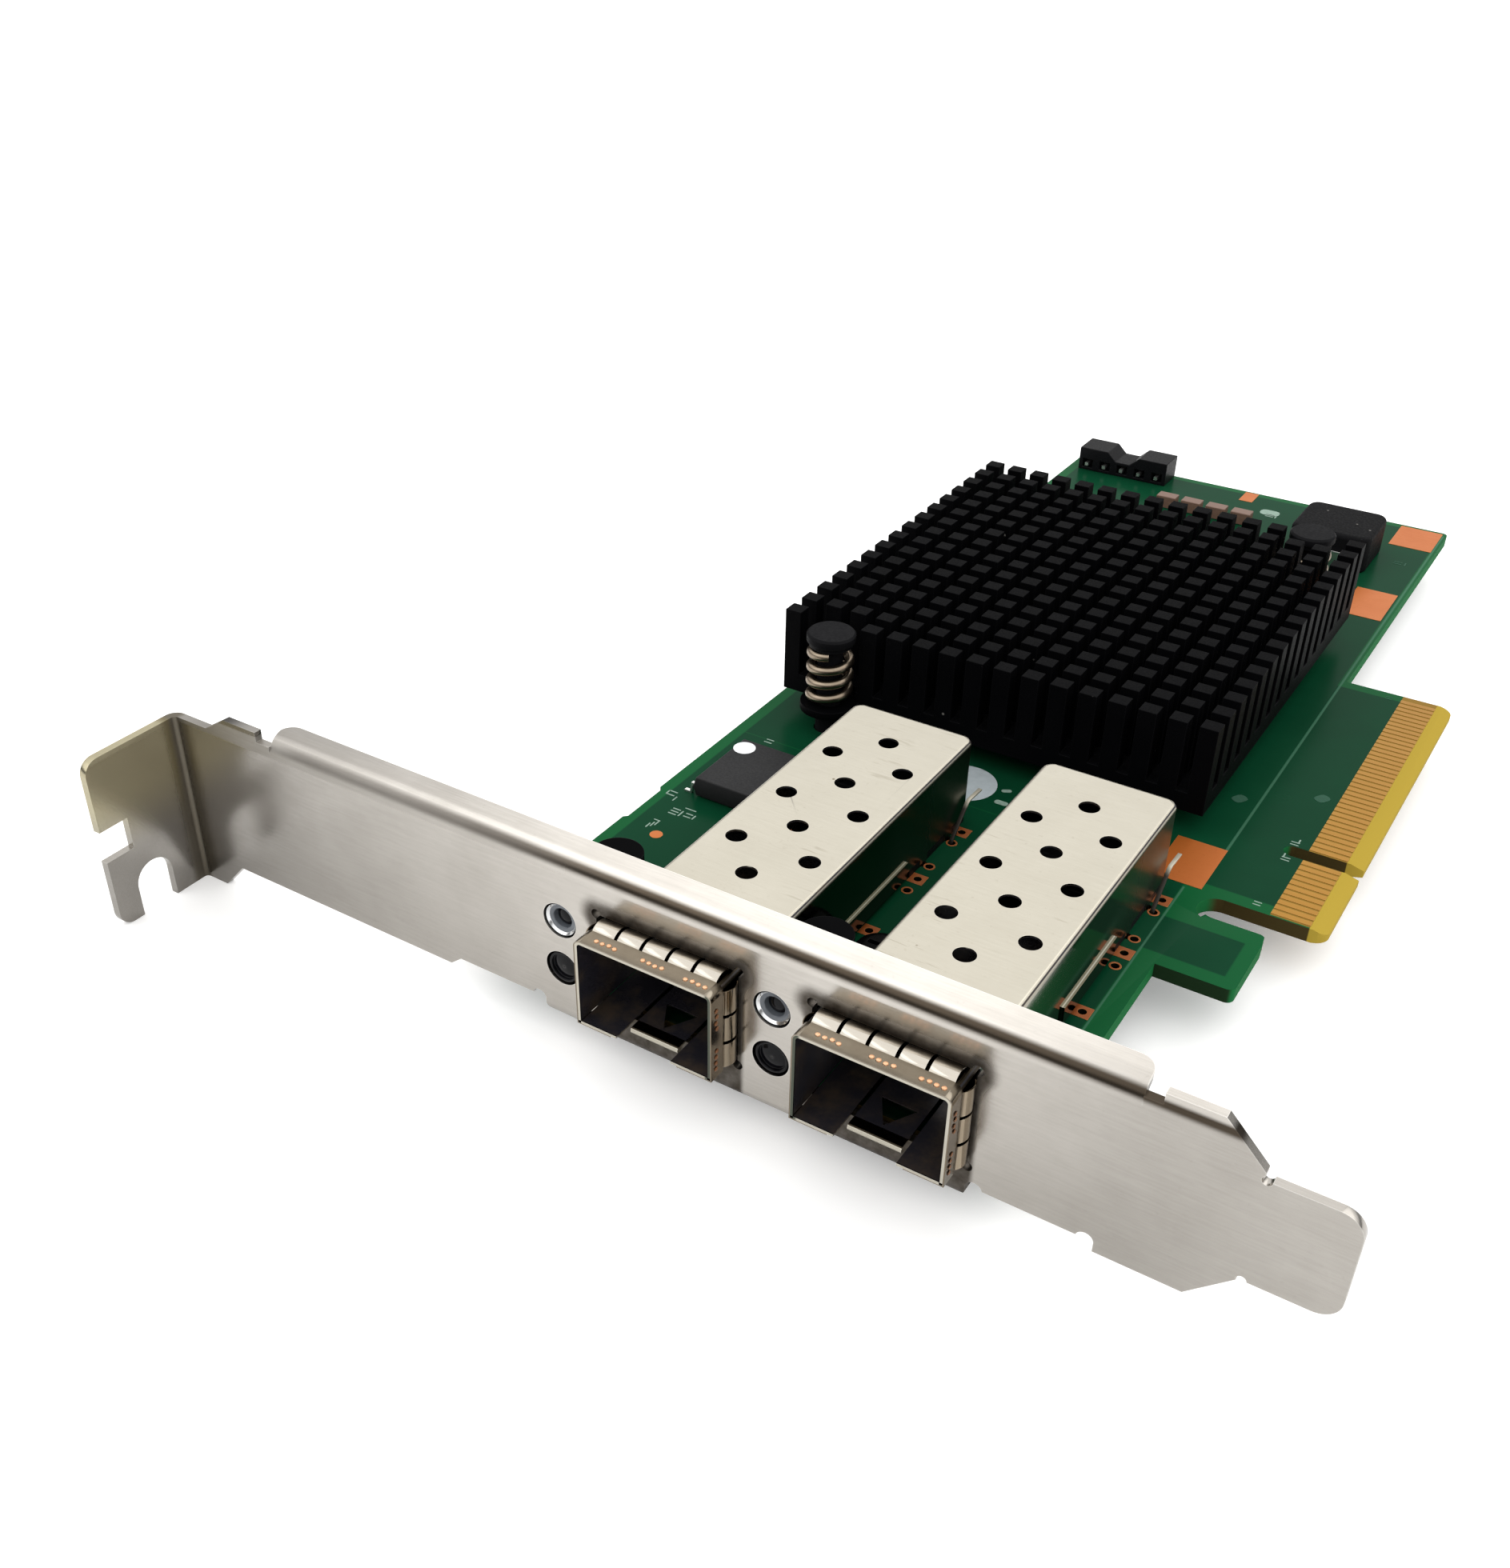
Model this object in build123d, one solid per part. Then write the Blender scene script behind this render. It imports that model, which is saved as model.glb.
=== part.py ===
from build123d import *
import os
from math import atan2, hypot, sqrt, tan

# Network interface card with a full-height bracket, two cage ports and a pin-fin heatsink.
# Millimetres. X runs along the bracket from the screw tab to the tang, Y runs from the
# bracket's outer face into the card, Z rises from the bracket's lower edge.
# At the end every piece is moved so that the origin is the middle of the footprint.

# Bracket sheet
bracket_length = 120.02
bracket_height = 18.42
bracket_sheet = 0.86
fold_radius = 0.45
# Screw tab that turns outward at the left end
tab_length = 11.43
tab_drop = 3.17
tab_top = 16.6
tab_corner = 1.7
tab_notch_low = 5.0
tab_notch_height = 3.6
tab_notch_depth = 3.4
screw_notch_offset = 6.35
screw_notch_rise = 0.25
screw_notch_radius = 2.21
foot_width = 3.9
foot_slope = 3.0
shoulder_width = 5.4
shoulder_slope = 2.9
# Tang at the right end
tang_length = 7.32
tang_low = 3.84
tang_high = 14.17
tang_corner = 2.0
tang_relief = 0.4
taper_top = 3.44
taper_drop = 3.52
taper_low = 3.7
# Stiffening flange along the top edge
flange_start = 14.4
flange_end_margin = 9.4
flange_depth = 3.15
flange_fold_radius = 1.35
flange_corner = 1.5
flange_relief_left = 1.7
flange_relief_right = 1.5
flange_relief_depth = 1.1
# Ear along the lower edge, which runs under the board
ear_start = 47.5
ear_end = 90.65
ear_low = -0.75
ear_depth = 3.5
ear_corner = 1.2
ear_relief = 0.75
ear_relief_drop = 0.15
tongue_width = 5.5
joggle_start = 4.2
joggle_length = 2.5
step_height = 1.05
step_left = 10.4
step_right = 11.05
step_slope = 1.3

# Circuit board
board_rise = 1.54
board_thickness = 1.57
board_gap = 0.64
board_left = 37.4
board_width = 56.5
board_length = 150.5
board_corner = 0.8
edge_recess_start = 26.3
edge_recess_length = 7.0
edge_recess_depth = 0.4
hook_start = 33.4
hook_length = 9.1
hook_reach = 7.6
slot_width = 4.3
slot_root = 0.2
tongue_length = 52.2
tongue_reach = 12.4
tongue_corner = 1.0
bevel_length = 1.4
bevel_depth = 0.4
key_width = 1.9
key_root_reach = 4.4

# Gold contacts along the tongue
contact_width = 0.7
contact_pitch = 1.0
contact_length = 3.9
contact_margin = 0.41
contact_tip_gap = 1.8
contacts_before_key = 11
contacts_after_key = 38
key_span = 3.0
foil = 0.05

# Port cages
cage_left_x = 61.3
cage_pitch = 21.9
cage_width = 14.0
cage_overhang = 3.74
cage_length = 50.1
cage_height = 9.15
cage_lift = 0.79
cage_sheet = 0.25
cage_top_bend = 0.6
cage_rear_bend = 1.3
vent_diameter = 2.1
vent_column = 4.0
vent_pitch = 9.13
vent_middle_start = 12.95
vent_middle_count = 4
vent_outer_count = 3
flap_start = 19.5
flap_length = 12.3
flap_height = 1.7
foot_spread = 1.6
foot_lap = 0.5
foot_pin_width = 0.7
foot_pin_overrun = 0.6
foot_hole = 1.05
foot_places = (9.5, 15.5, 36.0, 41.5)
latch_width = 5.0
latch_set_back = 2.0
latch_slit = 0.4
latch_length = 11.0
latch_opening_width = 3.4
latch_opening_length = 3.0
latch_opening_start = 1.2
latch_roll = 0.35
floor_length = 36.5
floor_gap = 0.05

# Bracket openings for the cages
cutout_side_gap = 0.4
cutout_top_gap = 0.35
cutout_low_gap = 0.75
cutout_relief = 0.5

# Spring collar round each cage mouth
collar_sheet = 0.12
collar_band = 1.84
finger_crest = 0.45
finger_end = 1.3
finger_slit = 0.35
finger_air = 0.06
top_fingers = 5
side_fingers = 3
collar_lip = 3.5

# Board connector inside each cage
socket_width = 11.0
socket_depth = 9.5
socket_height = 6.0
socket_rear_gap = 1.2
socket_chamfer = 0.8
card_slot_width = 8.6
card_slot_height = 1.5
card_slot_rise = 3.3
card_slot_depth = 6.0
spring_contact_width = 0.35
spring_contact_length = 5.0
spring_contact_sheet = 0.12
spring_contact_pitch = 0.8
spring_contact_count = 10
tail_length = 0.9

# Spare plated holes beside the cages
spare_hole = 0.8
spare_pad = 1.7
spare_offset = 7.75
spare_square_places = (23.1, 33.3, 43.4)
spare_round_places = (31.0, 35.9, 41.0)

# Indicator lamps and their holders
lamp_left_x = 49.72
lamp_right_x = 71.99
lamp_low_z = 5.48
lamp_high_z = 10.9
lamp_diameter = 3.3
lamp_hole_gap = 0.175
lamp_bore_gap = 0.05
lamp_length = 6.0
lamp_set_back = 0.15
lamp_rim = 0.3
lamp_recess = 0.35
holder_width = 5.0
holder_length = 7.7
holder_top = 13.2
holder_gap = 0.34

# Bracket screws
screw_left_x = 50.35
screw_right_x = 72.25
screw_y = 19.45
screw_shaft = 2.9
screw_head = 5.7
screw_head_height = 2.0
screw_gap = 0.05
screw_board_gap = 0.15
screw_overrun = 0.4

# Heatsink
sink_x = 64.83
sink_y = 83.55
sink_top = 16.0
sink_base = 2.2
fin_count_x = 16
fin_count_y = 16
fin_pitch_x = 3.25
fin_pitch_y = 3.55
fin_width = 2.0
fin_depth = 1.9
fin_clearance = 0.05
sink_ear_radius = 3.3
sink_ear_height = 0.9
spring_pocket_gap = 0.3
push_offset_x = 18.63
push_offset_y = 28.75

# Push pins and their springs
push_head = 5.6
push_head_height = 1.0
push_collar = 5.0
push_collar_height = 0.6
push_top = 15.5
push_shaft = 2.9
push_hole_gap = 0.15
push_barb = 3.9
push_barb_height = 3.6
push_slit = 0.6
spring_wire = 1.1
spring_outside = 5.5
spring_turns = 3.4
spring_facets = 8

# Controller and the pad between it and the heatsink
chip_size = 25.0
chip_height = 2.39
chip_lid = 21.0
chip_substrate = 1.0
pad_size = 20.0
pad_thickness = 0.3

# Memory chip beside the left port
flash_x = 45.25
flash_y = 38.75
flash_width = 7.5
flash_length = 10.3
flash_height = 2.3
flash_lift = 0.15
lead_count = 8
lead_pitch = 1.27
lead_width = 0.42
lead_sheet = 0.25
lead_reach = 1.4
lead_foot = 0.8

# Power inductor at the rear
coil_x = 81.75
coil_rear_gap = 10.4
coil_width = 10.9
coil_length = 10.6
coil_height = 5.1
coil_corner = 1.6
coil_terminal_width = 4.0
coil_terminal_sheet = 0.2
coil_terminal_rise = 2.6

# Header at the rear left corner
header_x = 46.02
header_rear_gap = 0.43
header_width = 14.06
header_depth = 4.7
header_height = 2.2
header_ear_rise = 1.3
header_ear_width = 4.5
header_ear_slope = 1.4
header_rib = 1.2
header_rib_count = 5
header_rib_depth = 1.2
header_rib_margin = 0.45
header_pin = 0.5
header_pin_length = 1.6

# Chip capacitors
rear_cap_x = 56.05
rear_cap_rear_gap = 11.3
rear_cap_pitch = 3.75
rear_cap_count = 4
rear_cap_length = 2.9
rear_cap_width = 1.9
rear_cap_height = 1.8
small_cap_length = 1.6
small_cap_width = 0.8
small_cap_height = 0.8
under_cap_pitch = 3.2
under_cap_count = 4

# Bare copper patches. The first has its left, right, front and rear edges. The others have left and
# right edges, and the distances of the front and rear edges from the board's rear edge.
patch_front = (88.3, 93.6, 47.3, 55.4)
patch_corner = 1.9
rear_patches = ((87.7, 93.0, 34.0, 25.0), (87.5, 93.3, 8.1, 0.6), (64.4, 66.4, 4.0, 0.4))

# Places that follow from the sizes above
bend_radius = bracket_sheet + fold_radius
flange_bend = bracket_sheet + flange_fold_radius
tang_root = bracket_length - tang_length
flange_end = tang_root - flange_end_margin
tongue_low = board_rise - bracket_sheet
board_front = bracket_sheet + board_gap
board_rear = board_front + board_length
board_right = board_left + board_width
board_top = board_rise + board_thickness
hook_end = hook_start + hook_length
tongue_start = hook_end + slot_width
tongue_end = tongue_start + tongue_length
tongue_tip = board_right + tongue_reach
floor_low = board_top + cage_lift
floor_high = floor_low + cage_sheet
cage_top = floor_low + cage_height
cage_front = -cage_overhang
cage_rear = cage_front + cage_length
cage_places = (cage_left_x, cage_left_x + cage_pitch)
cage_half = cage_width / 2
socket_front = cage_rear - socket_rear_gap - socket_depth
sink_low = board_top + chip_height + pad_thickness
sink_base_top = sink_low + sink_base
sink_ear_top = sink_low + sink_ear_height
sink_left = sink_x - ((fin_count_x - 1) * fin_pitch_x + fin_width) / 2
sink_front = sink_y - ((fin_count_y - 1) * fin_pitch_y + fin_depth) / 2
sink_right = 2 * sink_x - sink_left
sink_rear = 2 * sink_y - sink_front
push_places = (
    (sink_x - push_offset_x, sink_y - push_offset_y),
    (sink_x + push_offset_x, sink_y + push_offset_y),
)
screw_places = ((screw_left_x, screw_y), (screw_right_x, screw_y))
lamp_hole = lamp_diameter + 2 * lamp_hole_gap
coil_y = board_rear - coil_rear_gap - coil_length / 2
rear_cap_y = board_rear - rear_cap_rear_gap - rear_cap_width / 2


# A solid block between two opposite corners.
def block(x0, x1, y0, y1, z0, z1):
    return Pos((x0 + x1) / 2, (y0 + y1) / 2, (z0 + z1) / 2) * Box(x1 - x0, y1 - y0, z1 - z0)


# A flat rectangle between two opposite corners.
def flat(x0, x1, y0, y1):
    return Pos((x0 + x1) / 2, (y0 + y1) / 2) * Rectangle(x1 - x0, y1 - y0)


# A flat polygon through the given corners.
def polygon(*corners):
    return make_face(Polyline(*corners, close=True))


# A flat outline with the corners nearest to the given points rounded.
def rounded(outline, radius, *corners):
    picked = [outline.vertices().sort_by_distance(Vector(*corner))[0] for corner in corners]
    return fillet(picked, radius)


# An outline drawn in X and Z, made solid from y0 to y1.
def upright(outline, y0, y1):
    return extrude(Plane.XZ.offset(-y1) * outline, amount=y1 - y0)


# An outline drawn in Y and Z, made solid from x0 to x1.
def sideways(outline, x0, x1):
    return extrude(Plane.YZ.offset(x0) * outline, amount=x1 - x0)


# An outline drawn in X and Y, made solid from z0 to z1.
def level(outline, z0, z1):
    return extrude(Plane.XY.offset(z0) * outline, amount=z1 - z0)


# A drilled hole along Z.
def drill(x, y, diameter, z0, z1):
    return Pos(x, y, (z0 + z1) / 2) * Cylinder(diameter / 2, z1 - z0)


# Section of a sheet that leaves the front plate in a quarter bend and runs inward as a flange.
# side is 1 for the top edge and -1 for the lower edge.
def folded_edge(x0, x1, outer_z, side, depth, bend):
    turn = sqrt(0.5)
    fold = bend - bracket_sheet
    centre_z = outer_z - side * bend
    inner_z = outer_z - side * bracket_sheet
    outer_middle = (bend * (1 - turn), centre_z + side * bend * turn)
    inner_middle = (bend - fold * turn, centre_z + side * fold * turn)
    section = make_face(
        [
            ThreePointArc((0, centre_z), outer_middle, (bend, outer_z)),
            Line((bend, outer_z), (depth, outer_z)),
            Line((depth, outer_z), (depth, inner_z)),
            Line((depth, inner_z), (bend, inner_z)),
            ThreePointArc((bend, inner_z), inner_middle, (bracket_sheet, centre_z)),
            Line((bracket_sheet, centre_z), (0, centre_z)),
        ]
    )
    return sideways(section, x0, x1)


# Front plate of the bracket, with every opening that is punched in the flat sheet.
def front_plate():
    plate = flat(bend_radius, tang_root, 0, bracket_height)
    plate += flat(bend_radius, foot_width, -tab_drop, 0)
    plate += polygon((foot_width, 0), (foot_width, -tab_drop), (foot_width + foot_slope, 0))
    tang = flat(tang_root - 1, bracket_length, tang_low, tang_high)
    tang = rounded(tang, tang_corner, (bracket_length, tang_low), (bracket_length, tang_high))
    plate -= polygon(
        (tang_root - taper_low, 0), (tang_root, tang_low), (tang_root + 1, -1), (tang_root - taper_low, -1)
    )
    plate -= polygon(
        (tang_root - taper_top, bracket_height),
        (tang_root, bracket_height - taper_drop),
        (tang_root + 1, bracket_height + 1),
        (tang_root - taper_top, bracket_height + 1),
    )
    plate += tang
    for z in (tang_low, tang_high):
        plate -= Pos(tang_root + tang_relief / 2, z) * Circle(tang_relief)
    # Shoulder at the top left, where the plate is lower near the tab
    shoulder_end = shoulder_width + shoulder_slope
    plate -= polygon(
        (0, tab_top), (shoulder_width, tab_top), (shoulder_end, bracket_height),
        (shoulder_end, bracket_height + 1), (0, bracket_height + 1),
    )
    # The sheet ends at the flange's bend, with a relief notch at each end of it
    plate -= flat(flange_start, flange_end, bracket_height - flange_bend, bracket_height + 1)
    relief_low = bracket_height - flange_relief_depth
    plate -= flat(flange_start - flange_relief_left, flange_start, relief_low, bracket_height + 1)
    plate -= flat(flange_end, flange_end + flange_relief_right, relief_low, bracket_height + 1)
    # Raised lower edge on both sides of the ear
    step_start = ear_start - step_left
    step_end = ear_end + step_right
    relief_z = step_height - ear_relief_drop
    plate -= flat(step_start, ear_start, -1, step_height)
    plate -= flat(ear_end, step_end, -1, step_height)
    slope_start = step_start - step_slope
    plate -= polygon((slope_start, 0), (slope_start, -1), (step_start, -1), (step_start, step_height))
    plate -= flat(ear_start, ear_end, -1, ear_low + bend_radius)
    for x in (ear_start - ear_relief, ear_end + ear_relief, step_end - ear_relief):
        plate -= Pos(x, relief_z) * Circle(ear_relief)
    for x in (lamp_left_x, lamp_right_x):
        for z in (lamp_low_z, lamp_high_z):
            plate -= Pos(x, z) * Circle(lamp_hole / 2)
    for x in cage_places:
        left = x - cage_half - cutout_side_gap
        right = x + cage_half + cutout_side_gap
        low = floor_low - cutout_low_gap
        high = cage_top + cutout_top_gap
        plate -= flat(left, right, low, high)
        for corner in ((left, high), (right, high), (left, low), (right, low)):
            plate -= Pos(*corner) * Circle(cutout_relief)
    return upright(plate, 0, bracket_sheet)


# Screw tab at the left end, drawn in Y and Z.
def screw_tab():
    outline = flat(-tab_length, -fold_radius, -tab_drop, tab_top)
    outline = rounded(outline, tab_corner, (-tab_length, tab_top), (-tab_length, -tab_drop))
    outline -= Pos(-screw_notch_offset, screw_notch_rise) * Circle(screw_notch_radius)
    outline -= flat(
        -screw_notch_offset - screw_notch_radius,
        -screw_notch_offset + screw_notch_radius,
        -tab_drop - 1,
        screw_notch_rise,
    )
    outline -= flat(
        -tab_length - 1, -tab_length + tab_notch_depth, tab_notch_low, tab_notch_low + tab_notch_height
    )
    return sideways(outline, 0, bracket_sheet)


# Quarter bend that joins the screw tab to the front plate, drawn in X and Y.
def tab_bend():
    ring = Pos(bend_radius, -fold_radius) * (Circle(bend_radius) - Circle(fold_radius))
    quarter = ring & flat(0, bend_radius, -fold_radius, bracket_sheet)
    return level(quarter, -tab_drop, tab_top)


# Tongue that leaves the ear, is joggled up against the board and ends round at its screw hole.
def bracket_tongue(x, y):
    ear_top = ear_low + bracket_sheet
    joggle_end = joggle_start + joggle_length
    shift = bracket_sheet * tan(atan2(tongue_low - ear_low, joggle_length) / 2)
    root = ear_depth - 1
    section = polygon(
        (root, ear_low), (joggle_start, ear_low), (joggle_end, tongue_low), (y, tongue_low), (y, board_rise),
        (joggle_end - shift, board_rise), (joggle_start - shift, ear_top), (root, ear_top),
    )
    half = tongue_width / 2
    tongue = sideways(section, x - half, x + half)
    tongue += level(Pos(x, y) * Circle(half), tongue_low, board_rise)
    return tongue - drill(x, y, screw_shaft + 2 * screw_gap, ear_low - 1, board_rise + 1)


# Ear under the board: a folded strip with rounded ends, and two tongues that take the bracket screws.
def bracket_ear():
    front = flat(ear_start, ear_end, ear_low, ear_low + bend_radius)
    front = rounded(front, ear_corner, (ear_start, ear_low), (ear_end, ear_low))
    ear = folded_edge(ear_start, ear_end, ear_low, -1, ear_depth, bend_radius)
    ear &= upright(front, 0, ear_depth)
    return ear + [bracket_tongue(x, y) for x, y in screw_places]


def bracket():
    outline = flat(flange_start, flange_end, 0, flange_depth)
    outline = rounded(outline, flange_corner, (flange_start, flange_depth), (flange_end, flange_depth))
    flange = folded_edge(flange_start, flange_end, bracket_height, 1, flange_depth, flange_bend)
    flange &= level(outline, bracket_height - flange_bend, bracket_height)
    return front_plate() + tab_bend() + screw_tab() + bracket_ear() + flange


# Board outline, with the slot beside the hook, the key notch and the shallow recess in the left edge.
def board_outline():
    outline = flat(board_left, board_right, board_front, board_rear)
    outline = rounded(
        outline, board_corner, (board_left, board_rear), (board_right, board_rear), (board_left, board_front)
    )
    hook = flat(board_right - 2, board_right + hook_reach, hook_start, hook_end)
    hook_tip = board_right + hook_reach
    hook = rounded(hook, board_corner, (hook_tip, hook_start), (hook_tip, hook_end))
    tongue = flat(board_right - 2, tongue_tip, tongue_start, tongue_end)
    tongue = rounded(tongue, tongue_corner, (tongue_tip, tongue_start), (tongue_tip, tongue_end))
    outline += hook
    outline += tongue
    slot_radius = slot_width / 2
    slot_centre = board_right + slot_root + slot_radius
    outline += flat(board_right - 2, slot_centre, hook_end, tongue_start)
    outline -= Pos(slot_centre, hook_end + slot_radius) * Circle(slot_radius)
    last_before_key = tongue_start + contact_margin + (contacts_before_key - 1) * contact_pitch
    key_y = last_before_key + contact_width / 2 + key_span / 2
    key_centre = board_right + key_root_reach + key_width / 2
    outline -= Pos(key_centre, key_y) * Circle(key_width / 2)
    outline -= flat(key_centre, tongue_tip + 1, key_y - key_width / 2, key_y + key_width / 2)
    outline -= polygon(
        (board_left - 1, edge_recess_start - 1),
        (board_left, edge_recess_start),
        (board_left + edge_recess_depth, edge_recess_start + edge_recess_depth),
        (board_left + edge_recess_depth, edge_recess_start + edge_recess_length - edge_recess_depth),
        (board_left, edge_recess_start + edge_recess_length),
        (board_left - 1, edge_recess_start + edge_recess_length + 1),
    )
    return outline


def circuit_board():
    board = level(board_outline(), board_rise, board_top)
    cuts = []
    # The tip of the tongue is bevelled on both faces.
    for z, side in ((board_top, 1), (board_rise, -1)):
        wedge = polygon(
            (tongue_tip - bevel_length, z), (tongue_tip, z - side * bevel_depth),
            (tongue_tip + 1, z - side * bevel_depth), (tongue_tip + 1, z + side),
            (tongue_tip - bevel_length, z + side),
        )
        cuts.append(upright(wedge, tongue_start - 1, tongue_end + 1))
    for x, y in push_places:
        cuts.append(drill(x, y, push_shaft + 2 * push_hole_gap, board_rise - 1, board_top + 1))
    for x, y in screw_places:
        cuts.append(drill(x, y, screw_shaft + 2 * screw_board_gap, board_rise - 1, board_top + 1))
    for x in cage_places:
        for side in (-1, 1):
            wall = x + side * (cage_half - cage_sheet / 2)
            for y in foot_places:
                cuts.append(drill(wall, y, foot_hole, board_rise - 1, board_top + 1))
            for y in spare_square_places + spare_round_places:
                cuts.append(drill(x + side * spare_offset, y, spare_hole, board_rise - 1, board_top + 1))
    return board - cuts


# Gold contacts on both faces of the tongue, with a wider gap at the key notch.
def edge_contacts():
    contacts = []
    first = tongue_start + contact_margin
    x1 = tongue_tip - contact_tip_gap
    for i in range(contacts_before_key + contacts_after_key):
        y = first + i * contact_pitch
        if i >= contacts_before_key:
            y += key_span - contact_pitch
        for z in (board_top, board_rise - foil):
            contacts.append(block(x1 - contact_length, x1, y, y + contact_width, z, z + foil))
    return Compound(children=contacts)


# Bare copper patches near the edges of the board. The front one has a cut corner.
def copper_patches():
    left, right, front, rear = patch_front
    cut = polygon(
        (left - 1, front - 1), (left + patch_corner, front - 1), (left + patch_corner, front),
        (left, front + patch_corner), (left - 1, front + patch_corner),
    )
    patches = [flat(left, right, front, rear) - cut]
    for left, right, front_gap, rear_gap in rear_patches:
        patches.append(flat(left, right, board_rear - front_gap, board_rear - rear_gap))
    return Compound(children=[level(patch, board_top, board_top + foil) for patch in patches])


# Outer form of a cage, drawn in by inset on every closed side and run past the open sides.
def cage_form(x, inset):
    run_past = 1 if inset > 0 else 0
    half = cage_half - inset
    rear = cage_rear - inset
    top = cage_top - inset
    form = block(x - half, x + half, cage_front - run_past, rear, floor_high - run_past, top)
    rear_edges = form.edges().filter_by(Axis.Z).filter_by_position(Axis.Y, rear - 0.01, rear + 0.01)
    form = fillet(rear_edges, cage_rear_bend - inset)
    top_edges = form.edges().filter_by(Axis.Y).filter_by_position(Axis.Z, top - 0.01, top + 0.01)
    return fillet(top_edges, cage_top_bend - inset)


# Folded cage shell, open at the mouth and below, with vent holes and feet that go into the board.
def port_cage(x):
    shell = cage_form(x, 0) - cage_form(x, cage_sheet)
    cuts = []
    for i in range(vent_middle_count):
        cuts.append(drill(x, vent_middle_start + i * vent_pitch, vent_diameter, cage_top - 1, cage_top + 1))
    for side in (-1, 1):
        for i in range(vent_outer_count):
            y = vent_middle_start + (i + 0.5) * vent_pitch
            cuts.append(drill(x + side * vent_column, y, vent_diameter, cage_top - 1, cage_top + 1))
    shell = shell - cuts
    feet = []
    for side in (-1, 1):
        near = x + side * (cage_half - cage_sheet)
        far = x + side * cage_half
        x0 = min(near, far)
        x1 = max(near, far)
        for y in foot_places:
            spread = foot_spread / 2
            pin = foot_pin_width / 2
            feet.append(block(x0, x1, y - spread, y + spread, board_top, floor_high + foot_lap))
            feet.append(block(x0, x1, y - pin, y + pin, board_rise - foot_pin_overrun, board_top))
    return shell + feet


# Cage floor with its side flaps, and the latch tongue with its opening and rolled lip.
def cage_floor(x):
    inner = cage_half - cage_sheet - floor_gap
    outer = cage_half + cage_sheet
    latch_front = cage_front + latch_set_back
    plan = flat(x - inner, x + inner, cage_front, cage_front + floor_length)
    plan += flat(x - outer, x + outer, flap_start, flap_start + flap_length)
    half = latch_width / 2
    plan -= flat(x - half, x + half, cage_front - 1, latch_front)
    for side in (-1, 1):
        near = x + side * half
        far = x + side * (half + latch_slit)
        plan -= flat(min(near, far), max(near, far), cage_front - 1, cage_front + latch_length)
    start = latch_front + latch_opening_start
    plan -= polygon(
        (x, start),
        (x + latch_opening_width / 2, start + latch_opening_length),
        (x - latch_opening_width / 2, start + latch_opening_length),
    )
    base = level(plan, floor_low, floor_high)
    flap_top = floor_high + flap_height
    base += block(x - outer, x - cage_half, flap_start, flap_start + flap_length, floor_low, flap_top)
    base += block(x + cage_half, x + outer, flap_start, flap_start + flap_length, floor_low, flap_top)
    roll = Pos(x, latch_front, floor_high - latch_roll) * Rot(0, 90, 0) * Cylinder(latch_roll, latch_width)
    return base + roll


# One bowed finger of the collar, lying along Y on the plane z = 0.
def collar_finger(width, room):
    start = cage_front + collar_band
    over_sheet = room - collar_sheet - finger_air
    crest_y = start / 2
    crest_high = finger_crest + collar_sheet
    under = [
        ThreePointArc((start, 0), (crest_y, finger_crest), (0, over_sheet)),
        Line((0, over_sheet), (finger_end, 0)),
    ]
    over = [
        ThreePointArc((start, collar_sheet), (crest_y, crest_high), (0, over_sheet + collar_sheet)),
        Line((0, over_sheet + collar_sheet), (finger_end, collar_sheet)),
    ]
    ends = [Line((start, 0), (start, collar_sheet)), Line((finger_end, 0), (finger_end, collar_sheet))]
    return sideways(make_face(under + over + ends), -width / 2, width / 2)


# Spring collar: a band round the mouth, open under the latch tongue, with fingers that press on the bracket.
def spring_collar(x):
    half = cage_half + collar_sheet
    top = cage_top + collar_sheet
    outer = flat(-half, half, floor_low - collar_sheet, top)
    outer = rounded(outer, cage_top_bend + collar_sheet, (-half, top), (half, top))
    inner = flat(-cage_half, cage_half, floor_low, cage_top)
    inner = rounded(inner, cage_top_bend, (-cage_half, cage_top), (cage_half, cage_top))
    lip = cage_half - collar_lip
    ring = outer - inner - flat(-lip, lip, floor_low - 1, floor_low + 0.01)
    band_end = cage_front + collar_band
    collar = upright(ring, cage_front, band_end + 0.01)
    fingers = []
    top_room = cage_width - 2 * cage_top_bend
    top_width = (top_room - (top_fingers - 1) * finger_slit) / top_fingers
    for i in range(top_fingers):
        place = -top_room / 2 + top_width / 2 + i * (top_width + finger_slit)
        fingers.append(Pos(place, 0, cage_top) * collar_finger(top_width, cutout_top_gap))
    side_room = cage_top - cage_top_bend - floor_high
    side_width = (side_room - (side_fingers - 1) * finger_slit) / side_fingers
    for i in range(side_fingers):
        place = floor_high + side_width / 2 + i * (side_width + finger_slit)
        finger = collar_finger(side_width, cutout_side_gap)
        fingers.append(Pos(cage_half, 0, place) * Rot(0, 90, 0) * finger)
        fingers.append(Pos(-cage_half, 0, place) * Rot(0, -90, 0) * finger)
    return Pos(x, 0, 0) * (collar + fingers)


# Board connector inside the cage, with its card slot facing the mouth.
def port_connector(x):
    half = socket_width / 2
    top = board_top + socket_height
    body = block(x - half, x + half, socket_front, socket_front + socket_depth, board_top, top)
    front_top = Vector(x, socket_front, top)
    body = chamfer(body.edges().filter_by(Axis.X).sort_by_distance(front_top)[0], socket_chamfer)
    low = board_top + card_slot_rise
    slot = block(
        x - card_slot_width / 2, x + card_slot_width / 2, socket_front - 1, socket_front + card_slot_depth,
        low, low + card_slot_height,
    )
    return body - slot


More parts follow.
